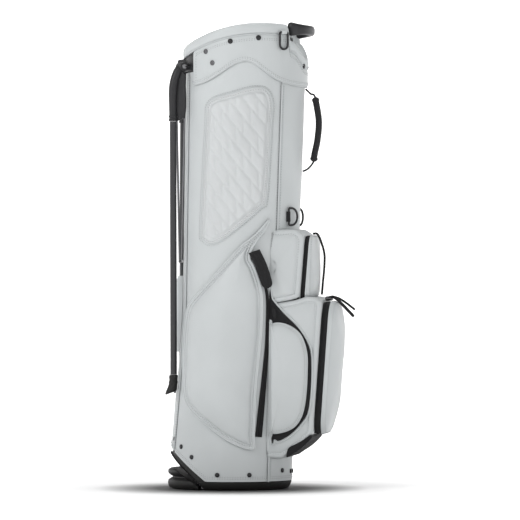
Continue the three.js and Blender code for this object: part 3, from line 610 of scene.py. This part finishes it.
def quilt_height(x, z, distance):
    """Padded cells: slanting seams with short upright seams, staggered from band to band."""
    band = (z + QUILT_SLOPE * x) / (QUILT_PITCH * 1.28)
    number = np.floor(band)
    to_slant = np.abs(band - np.round(band)) * QUILT_PITCH * 0.8
    upright = x / QUILT_PITCH + 0.5 * np.mod(number, 2)
    to_upright = np.abs(upright - np.round(upright)) * QUILT_PITCH
    nearest = np.minimum(to_slant, to_upright * 0.9)
    cells = 2.9 * (1 - np.exp(-nearest / 4.0))
    inner = smoothstep(distance, 8, 12)
    rim = 1.8 * (1 - np.exp(-(distance / 1.5) ** 2)) - 1.2 * np.exp(-((distance - 6.5) / 1.3) ** 2)
    return 0.5 + rim + inner * (cells + 0.6)


def inset(outline, amount):
    """The outline moved inwards."""
    normal = square_to(np.roll(outline, -1, 0) - np.roll(outline, 1, 0))
    area = np.sum(outline[:, 0] * np.roll(outline[:, 1], -1) - np.roll(outline[:, 0], -1) * outline[:, 1])
    return outline + normal * amount * (1 if area > 0 else -1)


def zip_strip(line, side, half_width, base, name, hides):
    """A zip: woven tape with a raised coil of teeth along its middle."""
    flat = spline(line, 110)
    across = square_to(np.gradient(flat, axis=0))
    widths = np.linspace(-1, 1, 9)
    widen = 0.62 + 1.0 * smoothstep(np.linspace(0, 1, 110), 0.25, 1.05)
    rows = []
    for p, n, w in zip(flat, across, widen):
        spots = p + n * (widths * half_width * w)[:, None]
        top = on_side(spots, side, base + 0.9 - 0.6 * widths**2)
        under = on_side(spots, side, base - 2.5)
        rows.append(np.concatenate([top, under[::-1]]))
    tape = loft(rows)
    centre = on_side(flat, side, base + 1.3)
    coil = evenly(centre, 420)
    ridged = 1.2 + 0.35 * np.cos(np.arange(420) * np.pi)
    piece(name, *together([tape, tube(coil, ridged, 8)]), "zip_tape", hides=hides)


def wide_pull(name, side, body_name, hides):
    """The wide zip pull: two layers of webbing with sewn edges, hanging over the zip."""
    line = spline([(57, 455), (66, 433), (73, 410), (79, 385)], 40)
    across = square_to(np.gradient(line, axis=0))
    widths = np.linspace(-1, 1, 13)
    rows = []
    for i, (p, n) in enumerate(zip(line, across)):
        t = i / 39
        half = 9.6 - 1.2 * t
        half *= math.sqrt(max(0.02, 1 - max(0, (t - 0.86) / 0.14) ** 2))
        spots = p + n * (widths * half)[:, None]
        rib = 0.5 * np.cos(widths * np.pi * 3)
        lift = 15.3 + rib - 0.7 * widths**4 + 1.2 * math.sin(t * 3)
        top = on_side(spots, side, lift)
        under = on_side(spots, side, lift - 2.6)
        rows.append(np.concatenate([top, under[::-1]]))
    piece(name, *loft(rows), "webbing", body_name, hides=hides)


def side_pieces():
    for name, side in SIDES:
        pocket = spline(APPAREL, 220, closed=True)
        made = side_patch(f"apparel_pocket_{name}_skin", pocket, side, pocket_height, "leather",
                          [f"apparel_pocket_{name}"])
        edge = inset(pocket, 1.2)
        pipe(on_side(edge, side, 4.4), 1.5, closed=True)
        for amount in (6.6, 11.2):
            sewn = inset(pocket, amount)
            stitch(side_point(sewn[6:-6, 0], sewn[6:-6, 1], side, 4.95))
        quilt = spline(QUILT, 160, closed=True)
        made = side_patch(f"quilt_panel_{name}_skin", quilt, side, quilt_height, "quilted_leather",
                          [f"quilt_panel_{name}"], step=1.9, columns=84)
        pipe(on_side(quilt, side, 0.8), 1.3, closed=True)
        sewn = inset(quilt, 4)
        stitch(on_side(sewn, side, 2.5))
        outer = inset(quilt, -4)
        stitch(on_side(outer, side, 0.3))
        zip_strip(ZIP_LINE, side, 3.4, 2.4, f"apparel_zip_{name}_tape", [f"apparel_zip_{name}"])
        wide_pull(f"apparel_pull_{name}_tab", side, f"apparel_slider_{name}", [f"apparel_pull_{name}"])


# ---------------------------------------------------------------- pocket tower
def tower_form(points, spec):
    """Leans and narrows a tower point, and keeps it outside the body."""
    points = np.array(points, float)
    x, y, z = points[..., 0], points[..., 1], points[..., 2]
    x = x + spec["slope"] * (z - spec["level"]) * np.clip((x - 100) / 40, 0, 1)
    y = y * (1 - TAPER * (x - 85))
    r = station(z, STATION_R)
    skin = station(z, STATION_X) + r * np.sqrt(np.clip(1 - (y / (r - OVAL)) ** 2, 0, 1)) + 0.2
    return np.stack([np.maximum(x, skin), y, z], -1)


def tower_block(name, profile, spec, hides):
    """A gusset: an [x, z] profile across the bag, with rounded long edges and soft sides."""
    outline = evenly(np.array(profile + profile[:1], float), 150, closed=True)
    fillet, crown = 7.0, 3.0
    ring = [(0.0, y) for y in np.linspace(0, TOWER_Y - fillet, 8)]
    ring += [(fillet * (1 - math.cos(t)), TOWER_Y - fillet + fillet * math.sin(t))
             for t in np.linspace(0.2, np.pi / 2, 6)]
    ring += [(fillet + depth, TOWER_Y + 0.1 * depth - 1.4 * math.exp(-((depth - 4) / 1.5) ** 2))
             for depth in (1.5, 3, 4, 5, 6.5)]
    half = []
    for amount, y in ring:
        line = inset(outline, amount)
        half.append(across_bag(line, y))
    last, middle = half[-1], half[-1].mean(axis=0)
    for k in (0.85, 0.65, 0.4, 0.2):
        row = middle + (last - middle) * k
        row[:, 1] = TOWER_Y + 0.65 + crown * (1 - k**2)
        half.append(row)
    other = [row * np.array([1, -1, 1]) for row in half[:0:-1]]
    rows = tower_form(np.array(other + half), spec)
    piece(name, *loft(rows), "leather", hides=hides)
    for side in (-1, 1):
        line = inset(outline, fillet + 2)
        sewn = tower_form(across_bag(line, side * (TOWER_Y + 0.6)), spec)
        stitch(sewn)


def face_loop(spec, x, half, z0, z1, corner, count=120):
    flat = rounded_rect(half, z0, z1, corner, count)
    return np.stack([np.full(count, x), flat[:, 0], flat[:, 1]], -1)


def band_zip(name, spec, corner, hides):
    """The zip that runs round a pocket front: tape, coil and piping on both edges."""
    x0, depth = spec["x"], spec["band"]
    rows = []
    for t in np.linspace(0, 1, 9):
        swell = 1.2 * math.sin(math.pi * t)
        rows.append(face_loop(spec, x0 - 2 + (depth + 4) * t, spec["half"] - 1.5 + swell,
                              spec["z0"] + 3 - swell, spec["z1"] - 3 + swell, corner))
    tape = loft(tower_form(np.array(rows), spec))
    coils = []
    middle = face_loop(spec, x0 + depth * 0.5, spec["half"] - 1, spec["z0"] + 2.6, spec["z1"] - 2.6,
                       corner, 700)
    ridged = 1.25 + 0.35 * np.cos(np.arange(700) * np.pi)
    coils.append(tube(tower_form(middle, spec), ridged, 8, closed=True))
    piece(name, *together([tape] + coils), "zip_tape", hides=hides)
    for x, grow in ((x0 - 1.2, -0.6), (x0 + depth + 2.2, -1.2)):
        loop = face_loop(spec, x, spec["half"] + grow, spec["z0"] + 2.5, spec["z1"] - 2.5, corner)
        pipe(tower_form(loop, spec), 1.6, closed=True)


def pocket_front(name, spec, out, fullness, corner, hides, power=3.0):
    """A full pocket front that bulges between its sewn edges."""
    x0 = spec["x"] + spec["band"] + 2.2
    middle = (spec["z0"] + spec["z1"]) / 2
    tall = (spec["z1"] - spec["z0"]) / 2
    rows = []
    for t in np.concatenate([[0], np.linspace(0.02, 0.97, 26)]):
        k = 1 - t
        bulge = out * (1 - k**power) ** (1 / power) if t > 0 else -1.2
        groove = -0.9 * math.exp(-(((1 - k) * tall - 6) / 1.4) ** 2)
        loop = rounded_rect(spec["half"] * k, middle - tall * k, middle + tall * k, corner * k, 120)
        share = fullness[0] + (fullness[1] - fullness[0]) * (loop[:, 1] - middle + tall) / (2 * tall)
        x = x0 + bulge * share + groove
        row = np.stack([x, loop[:, 0], loop[:, 1]], -1)
        row[:, 0] += wobble(row, 2.2, 0.02, 9) * min(1, t * 5)
        rows.append(row)
    made = piece(name, *loft(tower_form(np.array(rows), spec)), "leather", hides=hides)
    k = 1 - 3.2 / tall
    loop = rounded_rect(spec["half"] * k, middle - tall * k, middle + tall * k, corner * k, 200)
    share = fullness[0] + (fullness[1] - fullness[0]) * (loop[:, 1] - middle + tall) / (2 * tall)
    x = x0 + out * (1 - k**power) ** (1 / power) * share + 0.3
    stitch(tower_form(np.stack([x, loop[:, 0], loop[:, 1]], -1), spec))


COOLER = [(88, 309), (93, 316), (104, 318), (119, 315), (134, 307), (146, 295), (154, 276), (158, 254),
          (158, 225), (156.5, 193), (153, 163), (147, 141), (136, 124), (122, 115), (104, 110), (93, 110),
          (88, 117)]
COOLER_ZIP = [(85, 371), (91, 362), (105, 346), (119, 332), (138, 314), (151, 297), (161, 276), (165, 254),
              (165, 206), (161, 160), (155, 139), (141, 120), (124, 104), (103, 93), (96, 99), (90, 108)]


def side_pillow(name, corners, y, out, slot, hides, sharpness=3.0, soft=1.0):
    """A pad on the tower's right side: an [x, z] outline that swells towards -Y."""
    outline = evenly(spline(corners, 300, closed=True), 110, closed=True)
    centre = outline.mean(axis=0)
    rows = []
    for t in np.concatenate([[0], np.linspace(0.015, 0.97, 20)]):
        k = 1 - t
        bulge = out * (1 - k**sharpness) ** (1 / sharpness) if t > 0 else -0.2
        line = centre + (outline - centre) * k
        groove = -0.9 * soft * math.exp(-((t * 60 - 5) / 1.4) ** 2)
        depth = np.full(len(line), y - bulge - groove)
        row = np.stack([line[:, 0], depth, line[:, 1]], -1)
        row[:, 1] -= soft * wobble(row, 1.6, 0.02, 4) * min(1, t * 5)
        rows.append(row)
    flat = dict(LOWER, slope=0)
    return piece(name, *loft(tower_form(np.array(rows), flat)), slot, hides=hides)


def cooler():
    made = side_pillow("cooler_pocket_skin", COOLER, -TOWER_Y - 4, 13, "leather", ["cooler_pocket"])
    side_pillow("cooler_zip_tape", COOLER_ZIP, -TOWER_Y - 0.5, 3.6, "zip_tape", ["cooler_zip"], 12, 0.0)
    flat = dict(LOWER, slope=0)
    edge = spline(COOLER, 200, closed=True)
    pipe(tower_form(across_bag(edge, -TOWER_Y - 6), flat), 1.7, closed=True)
    sewn = inset(edge, 4)
    stitch(tower_form(across_bag(sewn, -TOWER_Y - 12.2), flat))
    outer = inset(spline(COOLER_ZIP, 200, closed=True), -2.5)
    pipe(tower_form(across_bag(outer, -TOWER_Y - 2.2), flat), 1.5, closed=True)
    line = spline([(94, 348), (96, 341), (97, 334), (98, 327)], 30)
    rows = []
    for i, (x, z) in enumerate(line):
        half = 3.6 * math.sqrt(max(0.03, 1 - (2 * i / 29 - 1) ** 6))
        around = turn(12)
        rows.append(np.stack([x + half * np.cos(around), -TOWER_Y - 6.2 + 1.5 * np.sin(around),
                              np.full(12, z)], -1))
    piece("cooler_pull_tab", *loft(np.array(rows)), "webbing", "cooler_slider", hides=["cooler_pull"])


def ball_pulls():
    """Two leather-cord pulls with a metal slider each, on the ball pocket's zip."""
    for name, side in SIDES:
        x, y = LOWER["x"] + 14, side * 9
        tip = 330 if side < 0 else 343
        thick = 3.0 if side < 0 else 2.2
        line = spline([(x, y, 365.5), (x + 12, y, 367), (x + 28, y, (366 + tip) / 2 + 5),
                       (x + 50, y, tip)], 40)
        ends = np.clip(np.minimum(np.arange(40), np.arange(40)[::-1]) / 2.0 + 0.55, 0.55, 1)
        cord = tube(line, thick * ends, 12, flat=1.5, start=(0, 1, 0))
        piece(f"ball_pull_{name}_cord", *cord, "webbing", f"ball_slider_{name}",
              hides=[f"ball_pull_{name}"])
        slider = drum((x + 1, y, 364.6), (1, 0, 0.1), 4.6, 6, 20, 1.6)
        piece(f"ball_slider_{name}_body", *slider, "dark_steel", f"ball_slider_{name}")


def tower():
    lower = [(60, 62), (112, 60), (137, 69), (158, 86), (174, 104), (177, 112), (177, 352), (175, 360),
             (166, 367), (147, 369), (128, 362), (60, 348)]
    upper = [(60, 350), (129, 362), (142, 365.5), (147, 370), (147, 478), (143, 488), (130, 497), (60, 495)]
    tower_block("lower_gusset_skin", lower, LOWER, ["lower_gusset"])
    tower_block("upper_gusset_skin", upper, UPPER, ["upper_gusset"])
    band_zip("ball_zip_tape", LOWER, 34, ["ball_zip"])
    band_zip("valuables_zip_tape", UPPER, 16, ["valuables_zip"])
    pocket_front("ball_pocket_skin", LOWER, 25, (0.9, 1.0), 36, ["ball_pocket"], 2.3)
    pocket_front("valuables_pocket_skin", UPPER, 16, (1.2, 0.35), 18, ["valuables_pocket"], 2.4)
    x = UPPER["x"]
    loop = spline([(x + 12, 0, 489), (x + 22, 0, 486), (x + 33, 0, 455), (x + 34, 0, 430), (x + 31, 0, 395),
                   (x + 29, 0, 372)], 60)
    piece("pocket_loop_webbing", *tube(loop, 2.2, 12, flat=2.2, start=(0, 1, 0)), "webbing",
          hides=["pocket_loop"])
    under = evenly(spline([(128, 63), (146, 72), (163, 85), (176, 100), (174, 106), (160, 96), (146, 88),
                           (130, 79)], 120, closed=True), 60)
    rows = [across_bag(under, y)
            for y in np.linspace(-TOWER_Y - 1.6, TOWER_Y + 1.6, 24)]
    piece("ball_pocket_underside", *loft(tower_form(np.array(rows), LOWER)), "zip_tape")
    cooler()
    ball_pulls()


# ---------------------------------------------------------------- base and foot
def base():
    """The base cup, its underside sloped at the front, and the tilting foot plate."""
    def cut(x):
        return np.where(x < -44, 11 + (-44 - x) * 0.779, 11 - np.clip((x + 44) / 8, 0, 1) * 11)

    outline = [(0, 0), (60, 0), (106, 0), (111, 1.2), (114.5, 4), (116.5, 8), (118, 12), (118.4, 15),
               (117, 17), (115.4, 18.5), (115, 40), (113.4, 70), (112, 104), (110.5, 105.5), (108.6, 104),
               (110, 60), (108, 12), (104, 9), (60, 8), (0, 8)]
    rows = []
    for a in np.radians(np.arange(0, 360, 2)):
        row = []
        for k, (r, z) in enumerate(outline):
            x = -3 + 0.06 * z + r * math.cos(a)
            floor = float(cut(np.array(x))) + (6 if k > 12 and x < -36 else 0)
            level = max(z, floor) if x < -36 else z
            tuck = min(4.0, 0.08 * (level - z))
            row.append((x - tuck * math.cos(a), max(0, r - tuck - OVAL) * math.sin(a), level))
        rows.append(row)
    piece("base_cup_shell", *loft(rows, wrap=True, closed=False), "black_rubber",
          hides=["base_cup"], sharp=30)

    lips = [(112, 1), (116, 2.2), (118.6, 6), (119.6, 12), (118.4, 17), (114, 20.4), (110.6, 22),
            (110.4, 24),
            (114.5, 26), (118.4, 29.5), (119.6, 33), (118.5, 37), (114, 39.5)]
    rows = []
    span = 103.0
    for s in np.linspace(-1, 1, 90):
        y = span * math.sin(s * math.pi / 2)
        front = [(FOOT_X - r * math.sqrt(max(0.0, 1 - (y / (r - OVAL)) ** 2)), z) for r, z in lips]
        front = [(min(px, -48.5 - 0.02 * pz), pz) for px, pz in front]
        top = []
        for f in (0.25, 0.5, 0.75, 1):
            px = front[-1][0] + (-48 - front[-1][0]) * f
            top.append((px, max(8.2, min(39.5, 8.2 + (-48 - px) * 0.52))))
        under = [(-48, 1.2), ((-48 + front[0][0]) / 2, 1)]
        rows.append([(px, y, min(pz, max(8.2, 8.4 + (-48 - px) * 0.6)) if i > 3 else pz)
                     for i, (px, pz) in enumerate(front + top + under)])
    plate = loft(rows)
    knuckle = drum((-41, 0, 5), (0, 1, 0), 4.3, 80, 24, 0.6)
    web = tube([(-45.5, -79, 4.2), (-45.5, 79, 4.2)], 3, 8)
    piece("foot_plate_body", *together([plate, knuckle, web]), "black_rubber", "foot",
          hides=["foot_plate"], sharp=35)


# ---------------------------------------------------------------- stand
def swing_axis(side):
    return np.array([side * math.sin(LEG_SPLAY), math.cos(LEG_SPLAY), 0])


HEAD_WEB = [(-92, 799), (-80, 794), (-79.5, 772), (-78.5, 745), (-79.5, 722), (-84, 710), (-101, 706),
            (-104, 740), (-102, 772)]


def web_plate(corners, side, inner, outer):
    """A flat moulded rib with eased edges, standing along the leg."""
    outline = spline(corners, 60, closed=True)
    rows = []
    for y, shrink in ((inner, 1.2), (inner + 1.2, 0.0), (outer - 1.2, 0.0), (outer, 1.2)):
        line = inset(outline, shrink)
        rows.append(across_bag(line, side * y))
    return loft(rows)


def legs():
    for name, side in SIDES:
        flip = np.array([1, side, 1])
        pivot, top, end = (np.array(p) * flip for p in (LEG_PIVOT, LEG_TOP, LEG_END))
        axis = swing_axis(side)
        down = (end - top) / np.linalg.norm(end - top)
        path = spline([pivot + flip * (-1, 0.5, -1), pivot + flip * (-9, 4.5, -12),
                       (LEG_TOP[0], side * 59.5, 765), top], 50)
        sizes = 8.4 - 0.9 * smoothstep(np.linspace(0, 1, 50), 0.3, 0.8)
        parts = [tube(path, sizes, 20, start=(0, 1, 0)), drum(pivot, axis, 8.5, 8.5, 36, 1.0)]
        parts += [drum(top - down * d, down, 8.6, 2.0, 28, 0.8) for d in (1.8, 8.5)]
        parts.append(tube([top - down * 8, np.array(LINK_TOP) * flip + (0, side * 3.6, 0)], 3.6, 14))
        parts.append(web_plate(HEAD_WEB, side, 50.6, 58.2))
        piece(f"leg_head_{name}_moulding", *together(parts), "black_plastic", f"leg_{name}",
              hides=[f"leg_head_{name}"])
        piece(f"leg_tube_{name}_pipe", *tube([top + down * 0.6, end - down * 2], 6.4, 32, start=(0, 1, 0)),
              "black_tube", f"leg_{name}", hides=[f"leg_tube_{name}"])
        shoe = [(-1.5, 7.2, 0, 0), (0, 8.3, -0.4, 0), (5, 8.5, -0.5, 0), (6, 7.9, -0.5, 0),
                (10, 8.0, -0.6, 0),
                (11, 8.6, -0.8, 0), (14, 8.7, -1.0, 0), (15, 8.2, -1.2, 0), (20, 8.8, -2.2, -1.0),
                (27, 10.6, -4.2, -2.6), (31, 11.2, -5.2, -3.6), (33, 10.2, -5.4, -3.8)]
        around = turn(28)
        rows = [end + down * d + np.stack([shift + r * np.cos(around), r * 0.9 * np.sin(around),
                                           -tilt * np.cos(around)], -1) for d, r, shift, tilt in shoe]
        piece(f"leg_foot_{name}_shoe", *loft(rows), "black_rubber", f"leg_{name}",
              hides=[f"leg_foot_{name}"])
        caps = [drum(pivot + axis * d, axis, 4.4, 1.0, 24, 0.5) for d in (-14.2, 14.2)]
        caps.append(drum(pivot, axis, 2.7, 14, 20, 0.3))
        piece(f"leg_pin_{name}_screw", *together(caps), "dark_steel", hides=[f"leg_pin_{name}"])
        low = np.array([ROD_X, side * 13.7, ROD_HIGH])
        piece(f"link_{name}_wire", *tube([np.array(LINK_TOP) * flip, low], 2.2, 14), "dark_steel",
              f"link_{name}_body", hides=[f"link_{name}"])
    rod = [tube([(ROD_X, 0, ROD_LOW), (ROD_X, 0, ROD_HIGH)], 2.5, 16),
           tube([(ROD_X, -10, ROD_HIGH), (ROD_X, 10, ROD_HIGH)], 3.2, 16, start=(0, 0, 1))]
    piece("actuator_rod_wire", *together(rod), "dark_steel", "actuator", hides=["actuator_rod"])


def housing():
    """The leg hinge housing in the collar's front gap, with two lugs for each leg."""
    rows = []
    corners = turn(28)
    for a_deg in np.linspace(FRONT_GAP + 0.6, 359.4 - FRONT_GAP, 70):
        a = math.radians(a_deg)
        off = abs(a_deg - 180)
        outer = COLLAR_R + 12 - 14 * float(smoothstep(off, 12, 17))
        high = float(rim_top(a)) - PAD_H - 1.4
        low = 799.2
        cr, cz = (111 + outer) / 2, (low + high) / 2
        hr, hz = (outer - 111) / 2, (high - low) / 2
        r = cr + hr * squash(np.cos(corners), 0.35)
        z = cz + hz * squash(np.sin(corners), 0.35)
        rows.append(collar_point(a, r, z))
    parts = [loft(rows)]
    for side in (-1, 1):
        pivot, axis = np.array(LEG_PIVOT) * (1, side, 1), swing_axis(side)
        inward = np.array([axis[1], -axis[0], 0])
        for d in (-11.5, 11.5):
            parts.append(drum(pivot + axis * d, axis, 8.4, 1.95, 36, 0.6))
            parts.append(tube([pivot + axis * d + inward * 2, pivot + axis * d + inward * 11], 1.95, 12,
                              flat=3.8, start=axis))
    piece("leg_housing_moulding", *together(parts), "black_plastic", hides=["leg_housing"])


def sleeve():
    """Leather sleeve over the actuator rod, and the clip that holds the closed legs."""
    rows = []
    for t in np.linspace(0, 1, 40):
        z = 262 + 146 * t
        front = float(body_point(math.pi, z)[0])
        out = 9 + 4.5 * float(smoothstep(t, 0, 0.35)) - 3 * float(smoothstep(t, 0.94, 1))
        out = out - 3 * (1 - float(smoothstep(t, 0, 0.06)))
        a = np.linspace(0, np.pi, 20)
        x = front + 0.4 - (out + 0.4) * np.sin(a) ** 0.6
        rows.append(np.stack([x, -11.5 * np.cos(a), np.full(20, z)], -1))
    piece("rod_sleeve_skin", *loft(rows), "leather", hides=["rod_sleeve"])
    front = float(body_point(math.pi, 308)[0]) - 15
    clip = tube(spline([(front - 3, -10, 308), (front, -8.6, 308), (front + 0.6, 0, 308), (front, 8.6, 308),
                        (front - 3, 10, 308)], 30), 2.2, 12, flat=2.2, start=(1, 0, 0))
    piece("leg_clip_moulding", *clip, "black_plastic", hides=["leg_clip"])


# ---------------------------------------------------------------- handles and rings
def lift_handle():
    rows = []
    around = turn(24)
    for t in np.linspace(-1, 1, 61):
        a = math.radians(35.5 * t)
        out = 1 - t**4
        end = math.sqrt(max(0.05, 1 - max(0, (abs(t) - 0.93) / 0.07) ** 2 * 0.9))
        centre = collar_point(a, 112 + 14 * out, 878.5 - out)
        tall, thick = (14.3 - 5.2 * out) * end, 6.8 * end
        radial = np.array([math.cos(a), math.sin(a), 0])
        r = thick * squash(np.cos(around), 0.7)
        z = tall * squash(np.sin(around), 0.7)
        rows.append(centre + r[:, None] * radial + z[:, None] * np.array([0, 0, 1]))
    piece("lift_handle_moulding", *loft(rows), "black_plastic", hides=["lift_handle"])


def grab_handle():
    grip = spline([(163, 0, 750), (170, 0, 706), (167.5, 0, 669), (162, 0, 642), (160, 0, 627)], 90)
    t = np.linspace(0, 1, 90)
    ends = np.sqrt(np.clip(1 - np.maximum(0, (np.abs(2 * t - 1) - 0.93) / 0.07) ** 2 * 0.75, 0.1, 1))
    collars = 1 + 0.18 * np.exp(-((t - 0.04) / 0.02) ** 2) + 0.18 * np.exp(-((t - 0.96) / 0.02) ** 2)
    made = piece("grab_grip_sleeve", *tube(grip, 6.2 * ends * collars, 24, flat=1.55, start=(0, 1, 0)),
                 "grip_fabric", "grab_handle", hides=["grab_grip"])
    line = spline([(144.6, 0, 766), (154, 0, 757), (163, 0, 750), (170, 0, 706), (167.5, 0, 669),
                   (162, 0, 642), (160, 0, 627), (150, 0, 614), (139, 0, 608)], 140)
    piece("grab_strap_webbing", *tube(line, 1.8, 12), "webbing", "grab_handle", hides=["grab_strap"])


def ring_loop(height, reach, count=80):
    """The centre line of a D ring: straight bar on the left, bow to the right."""
    h = height / 2 - 1.8
    a = np.linspace(-np.pi / 2, np.pi / 2, 30)
    bow = np.stack([reach - height / 2 + h * np.cos(a), h * np.sin(a)], -1)
    line = np.concatenate([[(1.8, 0), (1.8, -h + 2), (3.8, -h)], bow, [(3.8, h), (1.8, h - 2), (1.8, 0)]])
    return evenly(line, count, closed=True)


def ring_set(name, body_name, degrees, z, radius, height, reach, hanging, hides, holder_hides):
    angle = math.radians(degrees)
    side = math.copysign(1, degrees)
    seat = collar_point(angle, radius, z) if radius else body_point(angle, z)
    outward = np.array([math.cos(angle), math.sin(angle), 0])
    back = np.array([math.sin(angle) * side, -math.cos(angle) * side, 0])
    up = np.array([0, 0, 1.0])
    reach_way, bar_way = (-up, back) if hanging else (back, up)
    origin = seat + outward * 5
    flat = ring_loop(height, reach)
    line = origin + flat[:, :1] * reach_way + flat[:, 1:] * bar_way
    piece(name, *tube(line, 2.1, 12, closed=True, start=outward), "black_plastic", body_name, hides=hides)
    width = height * 0.27
    wrap = []
    for b in np.linspace(-1, 1, 9):
        loop = []
        for c in turn(20):
            r_out = 3.4 if math.cos(c) > -0.2 else 5.2
            loop.append(origin + reach_way * (1.8 + 3.6 * math.sin(c))
                        + outward * (r_out * math.cos(c) - 0.6)
                        + bar_way * (width * b))
        wrap.append(loop)
    piece(name + "_holder", *loft(wrap), "leather" if hanging else "webbing", hides=holder_hides)


def rings():
    for name, side in SIDES:
        ring_set(f"d_ring_{name}_bow", f"d_ring_{name}_body", side * 33, 521, None, 36, 28, False,
                 [f"d_ring_{name}"], [f"d_ring_holder_{name}"])
    ring_set("towel_ring_bow", "towel_ring_body", -46, 873, PAD_R - 1.4, 22, 36, True, ["towel_ring"], [])


def dividers():
    """Padded covers on the divider bars."""
    corners = turn(24)

    def cover(name, a, b, across):
        rows = []
        for t in np.linspace(0, 1, 40):
            end = math.sqrt(max(0.03, 1 - (2 * t - 1) ** 30))
            spot = np.array(a) + (np.array(b) - np.array(a)) * t
            wide = 5.4 * end * squash(np.cos(corners), 0.8)
            tall = 13.2 * end * squash(np.sin(corners), 0.8)
            rows.append(spot + wide[:, None] * np.array(across) + tall[:, None] * np.array([0, 0, 1]))
        made = piece(name + "_cover", *loft(rows), "leather", hides=[name])

    centre = float(np.interp(BAR_Z, STATION_Z, STATION_X))
    for name, x in DIVIDER_X.items():
        cover(f"{name}_divider_bar", (x + centre, -86, BAR_Z), (x + centre, 86, BAR_Z), (1, 0, 0))
    cover("centre_divider_bar", (centre - 36.4, 0, BAR_Z), (centre + 37.4, 0, BAR_Z), (0, 1, 0))


# ---------------------------------------------------------------- studio, in metres and watts
LAMPS = (("key", (-1.9, -2.5, 2.3), (0.8, 1.2), 44),
         ("fill", (2.4, -2.6, 1.2), (1.2, 1.8), 8),
         ("top", (0.1, 0.2, 2.9), (1.6, 1.6), 24))
LAMP_AIM = (0.05, 0, 0.45)
CAMERA_AZIMUTH = 8.5
FLOOR_FLAT, FLOOR_BEND = 11, 2
FLOOR_COLOUR = (0.86, 0.86, 0.86)
WORLD_STRENGTH = 0.5


def studio():
    """Pale floor that curves up all round, with a painted shadow round the bag's base and a painted glow
    that fades out towards the bag; soft lights, and a long lens square to the bag's right side.
    """
    azimuth = math.radians(CAMERA_AZIMUTH)
    turns = turn(96)
    profile = [(0.01, 0), (0.5, 0), (3, 0), (FLOOR_FLAT, 0)]
    profile += [(FLOOR_FLAT + FLOOR_BEND * math.sin(a), FLOOR_BEND - FLOOR_BEND * math.cos(a))
                for a in np.linspace(0.1, math.pi / 2, 12)]
    profile += [(FLOOR_FLAT + FLOOR_BEND, 3.5)]
    rows = [np.stack([r * np.cos(turns), r * np.sin(turns), np.full(96, z - 0.0002)], -1)
            for r, z in profile]
    verts, faces = loft(rows, caps=False)
    verts = verts.tolist()
    mesh = bpy.data.meshes.new("floor")
    mesh.from_pydata(verts, [], faces)
    mesh.shade_smooth()
    material, nodes, links, shader, place = node_material("floor", FLOOR_COLOUR, 0.75)
    shader.inputs["Emission Color"].default_value = (1, 1, 1, 1)
    reach = nodes.new("ShaderNodeVectorMath")
    reach.operation = "LENGTH"
    links.new(place, reach.inputs[0])
    # Painted glow: the floor gives off light of its own. There is none within 0.2 m of the bag and it rises
    # further out, which also helps the painted shadow round the base.
    painted_glow = add_range(nodes, links, reach.outputs["Value"], 0.0, 0.75)
    painted_glow.node.inputs["From Min"].default_value = 0.2
    painted_glow.node.inputs["From Max"].default_value = 0.7
    # Painted shadow: the floor's colour darkens from 0.86 to 0.1 towards the bag's base, a dark pool drawn
    # round it.
    painted_shadow = add_range(nodes, links, reach.outputs["Value"], 0.0, 1.0)
    painted_shadow.node.inputs["From Min"].default_value = 0.05
    painted_shadow.node.inputs["From Max"].default_value = 0.36
    tint(nodes, links, painted_shadow, (1, 1, 1), 0.1, 0.86, shader)
    links.new(painted_glow, shader.inputs["Emission Strength"])
    mesh.materials.append(material)
    floor = bpy.data.objects.new("floor", mesh)
    bpy.context.scene.collection.objects.link(floor)

    world = bpy.data.worlds.new("studio")
    world.use_nodes = True
    world.node_tree.nodes["Background"].inputs["Color"].default_value = (1, 1, 1, 1)
    world.node_tree.nodes["Background"].inputs["Strength"].default_value = WORLD_STRENGTH
    bpy.context.scene.world = world

    def area(name, place_at, size, power):
        lamp = bpy.data.lights.new(name, "AREA")
        lamp.shape = "RECTANGLE"
        lamp.size, lamp.size_y = size
        lamp.energy = power
        made = bpy.data.objects.new(name, lamp)
        made.location = place_at
        aim = Vector(LAMP_AIM) - Vector(place_at)
        made.rotation_euler = aim.to_track_quat("-Z", "Y").to_euler()
        bpy.context.scene.collection.objects.link(made)

    for lamp_row in LAMPS:
        area(*lamp_row)
    bpy.context.scene.view_settings.view_transform = "Standard"

    distance, across, height, field = 9.0, 0.0555, 0.4383, 0.9992
    lens = bpy.data.cameras.new("camera")
    lens.lens = 36 * distance / field
    lens.clip_end = 60
    camera = bpy.data.objects.new("camera", lens)
    right = Vector((math.cos(azimuth), math.sin(azimuth), 0))
    ahead = Vector((-math.sin(azimuth), math.cos(azimuth), 0))
    camera.location = right * across - ahead * distance + Vector((0, 0, height))
    camera.rotation_euler = (math.pi / 2, 0, azimuth)
    bpy.context.scene.collection.objects.link(camera)
    bpy.context.scene.camera = camera


def carried_over():
    """The frame's own pieces that stay, with better materials."""
    finishes = {"collar_frame": "black_plastic", "foot_pin": "dark_steel", "stay_right": "dark_steel",
                "stay_left": "dark_steel", "front_divider_sheet": "lining", "rear_divider_sheet": "lining",
                "centre_divider_sheet": "lining"}
    for node, slot in finishes.items():
        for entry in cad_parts[node].material_slots:
            entry.material = MATERIALS[slot]


studio()
carried_over()
body()
collar()
rivets()
side_pieces()
tower()
base()
legs()
housing()
sleeve()
lift_handle()
grab_handle()
rings()
dividers()
for owner, parts in STITCHES.items():
    piece(f"stitching_{owner}", *together(parts), "leather", owner, sharp=180,
          material=MATERIALS["thread"])
piece("piping", *together(PIPING), "leather")
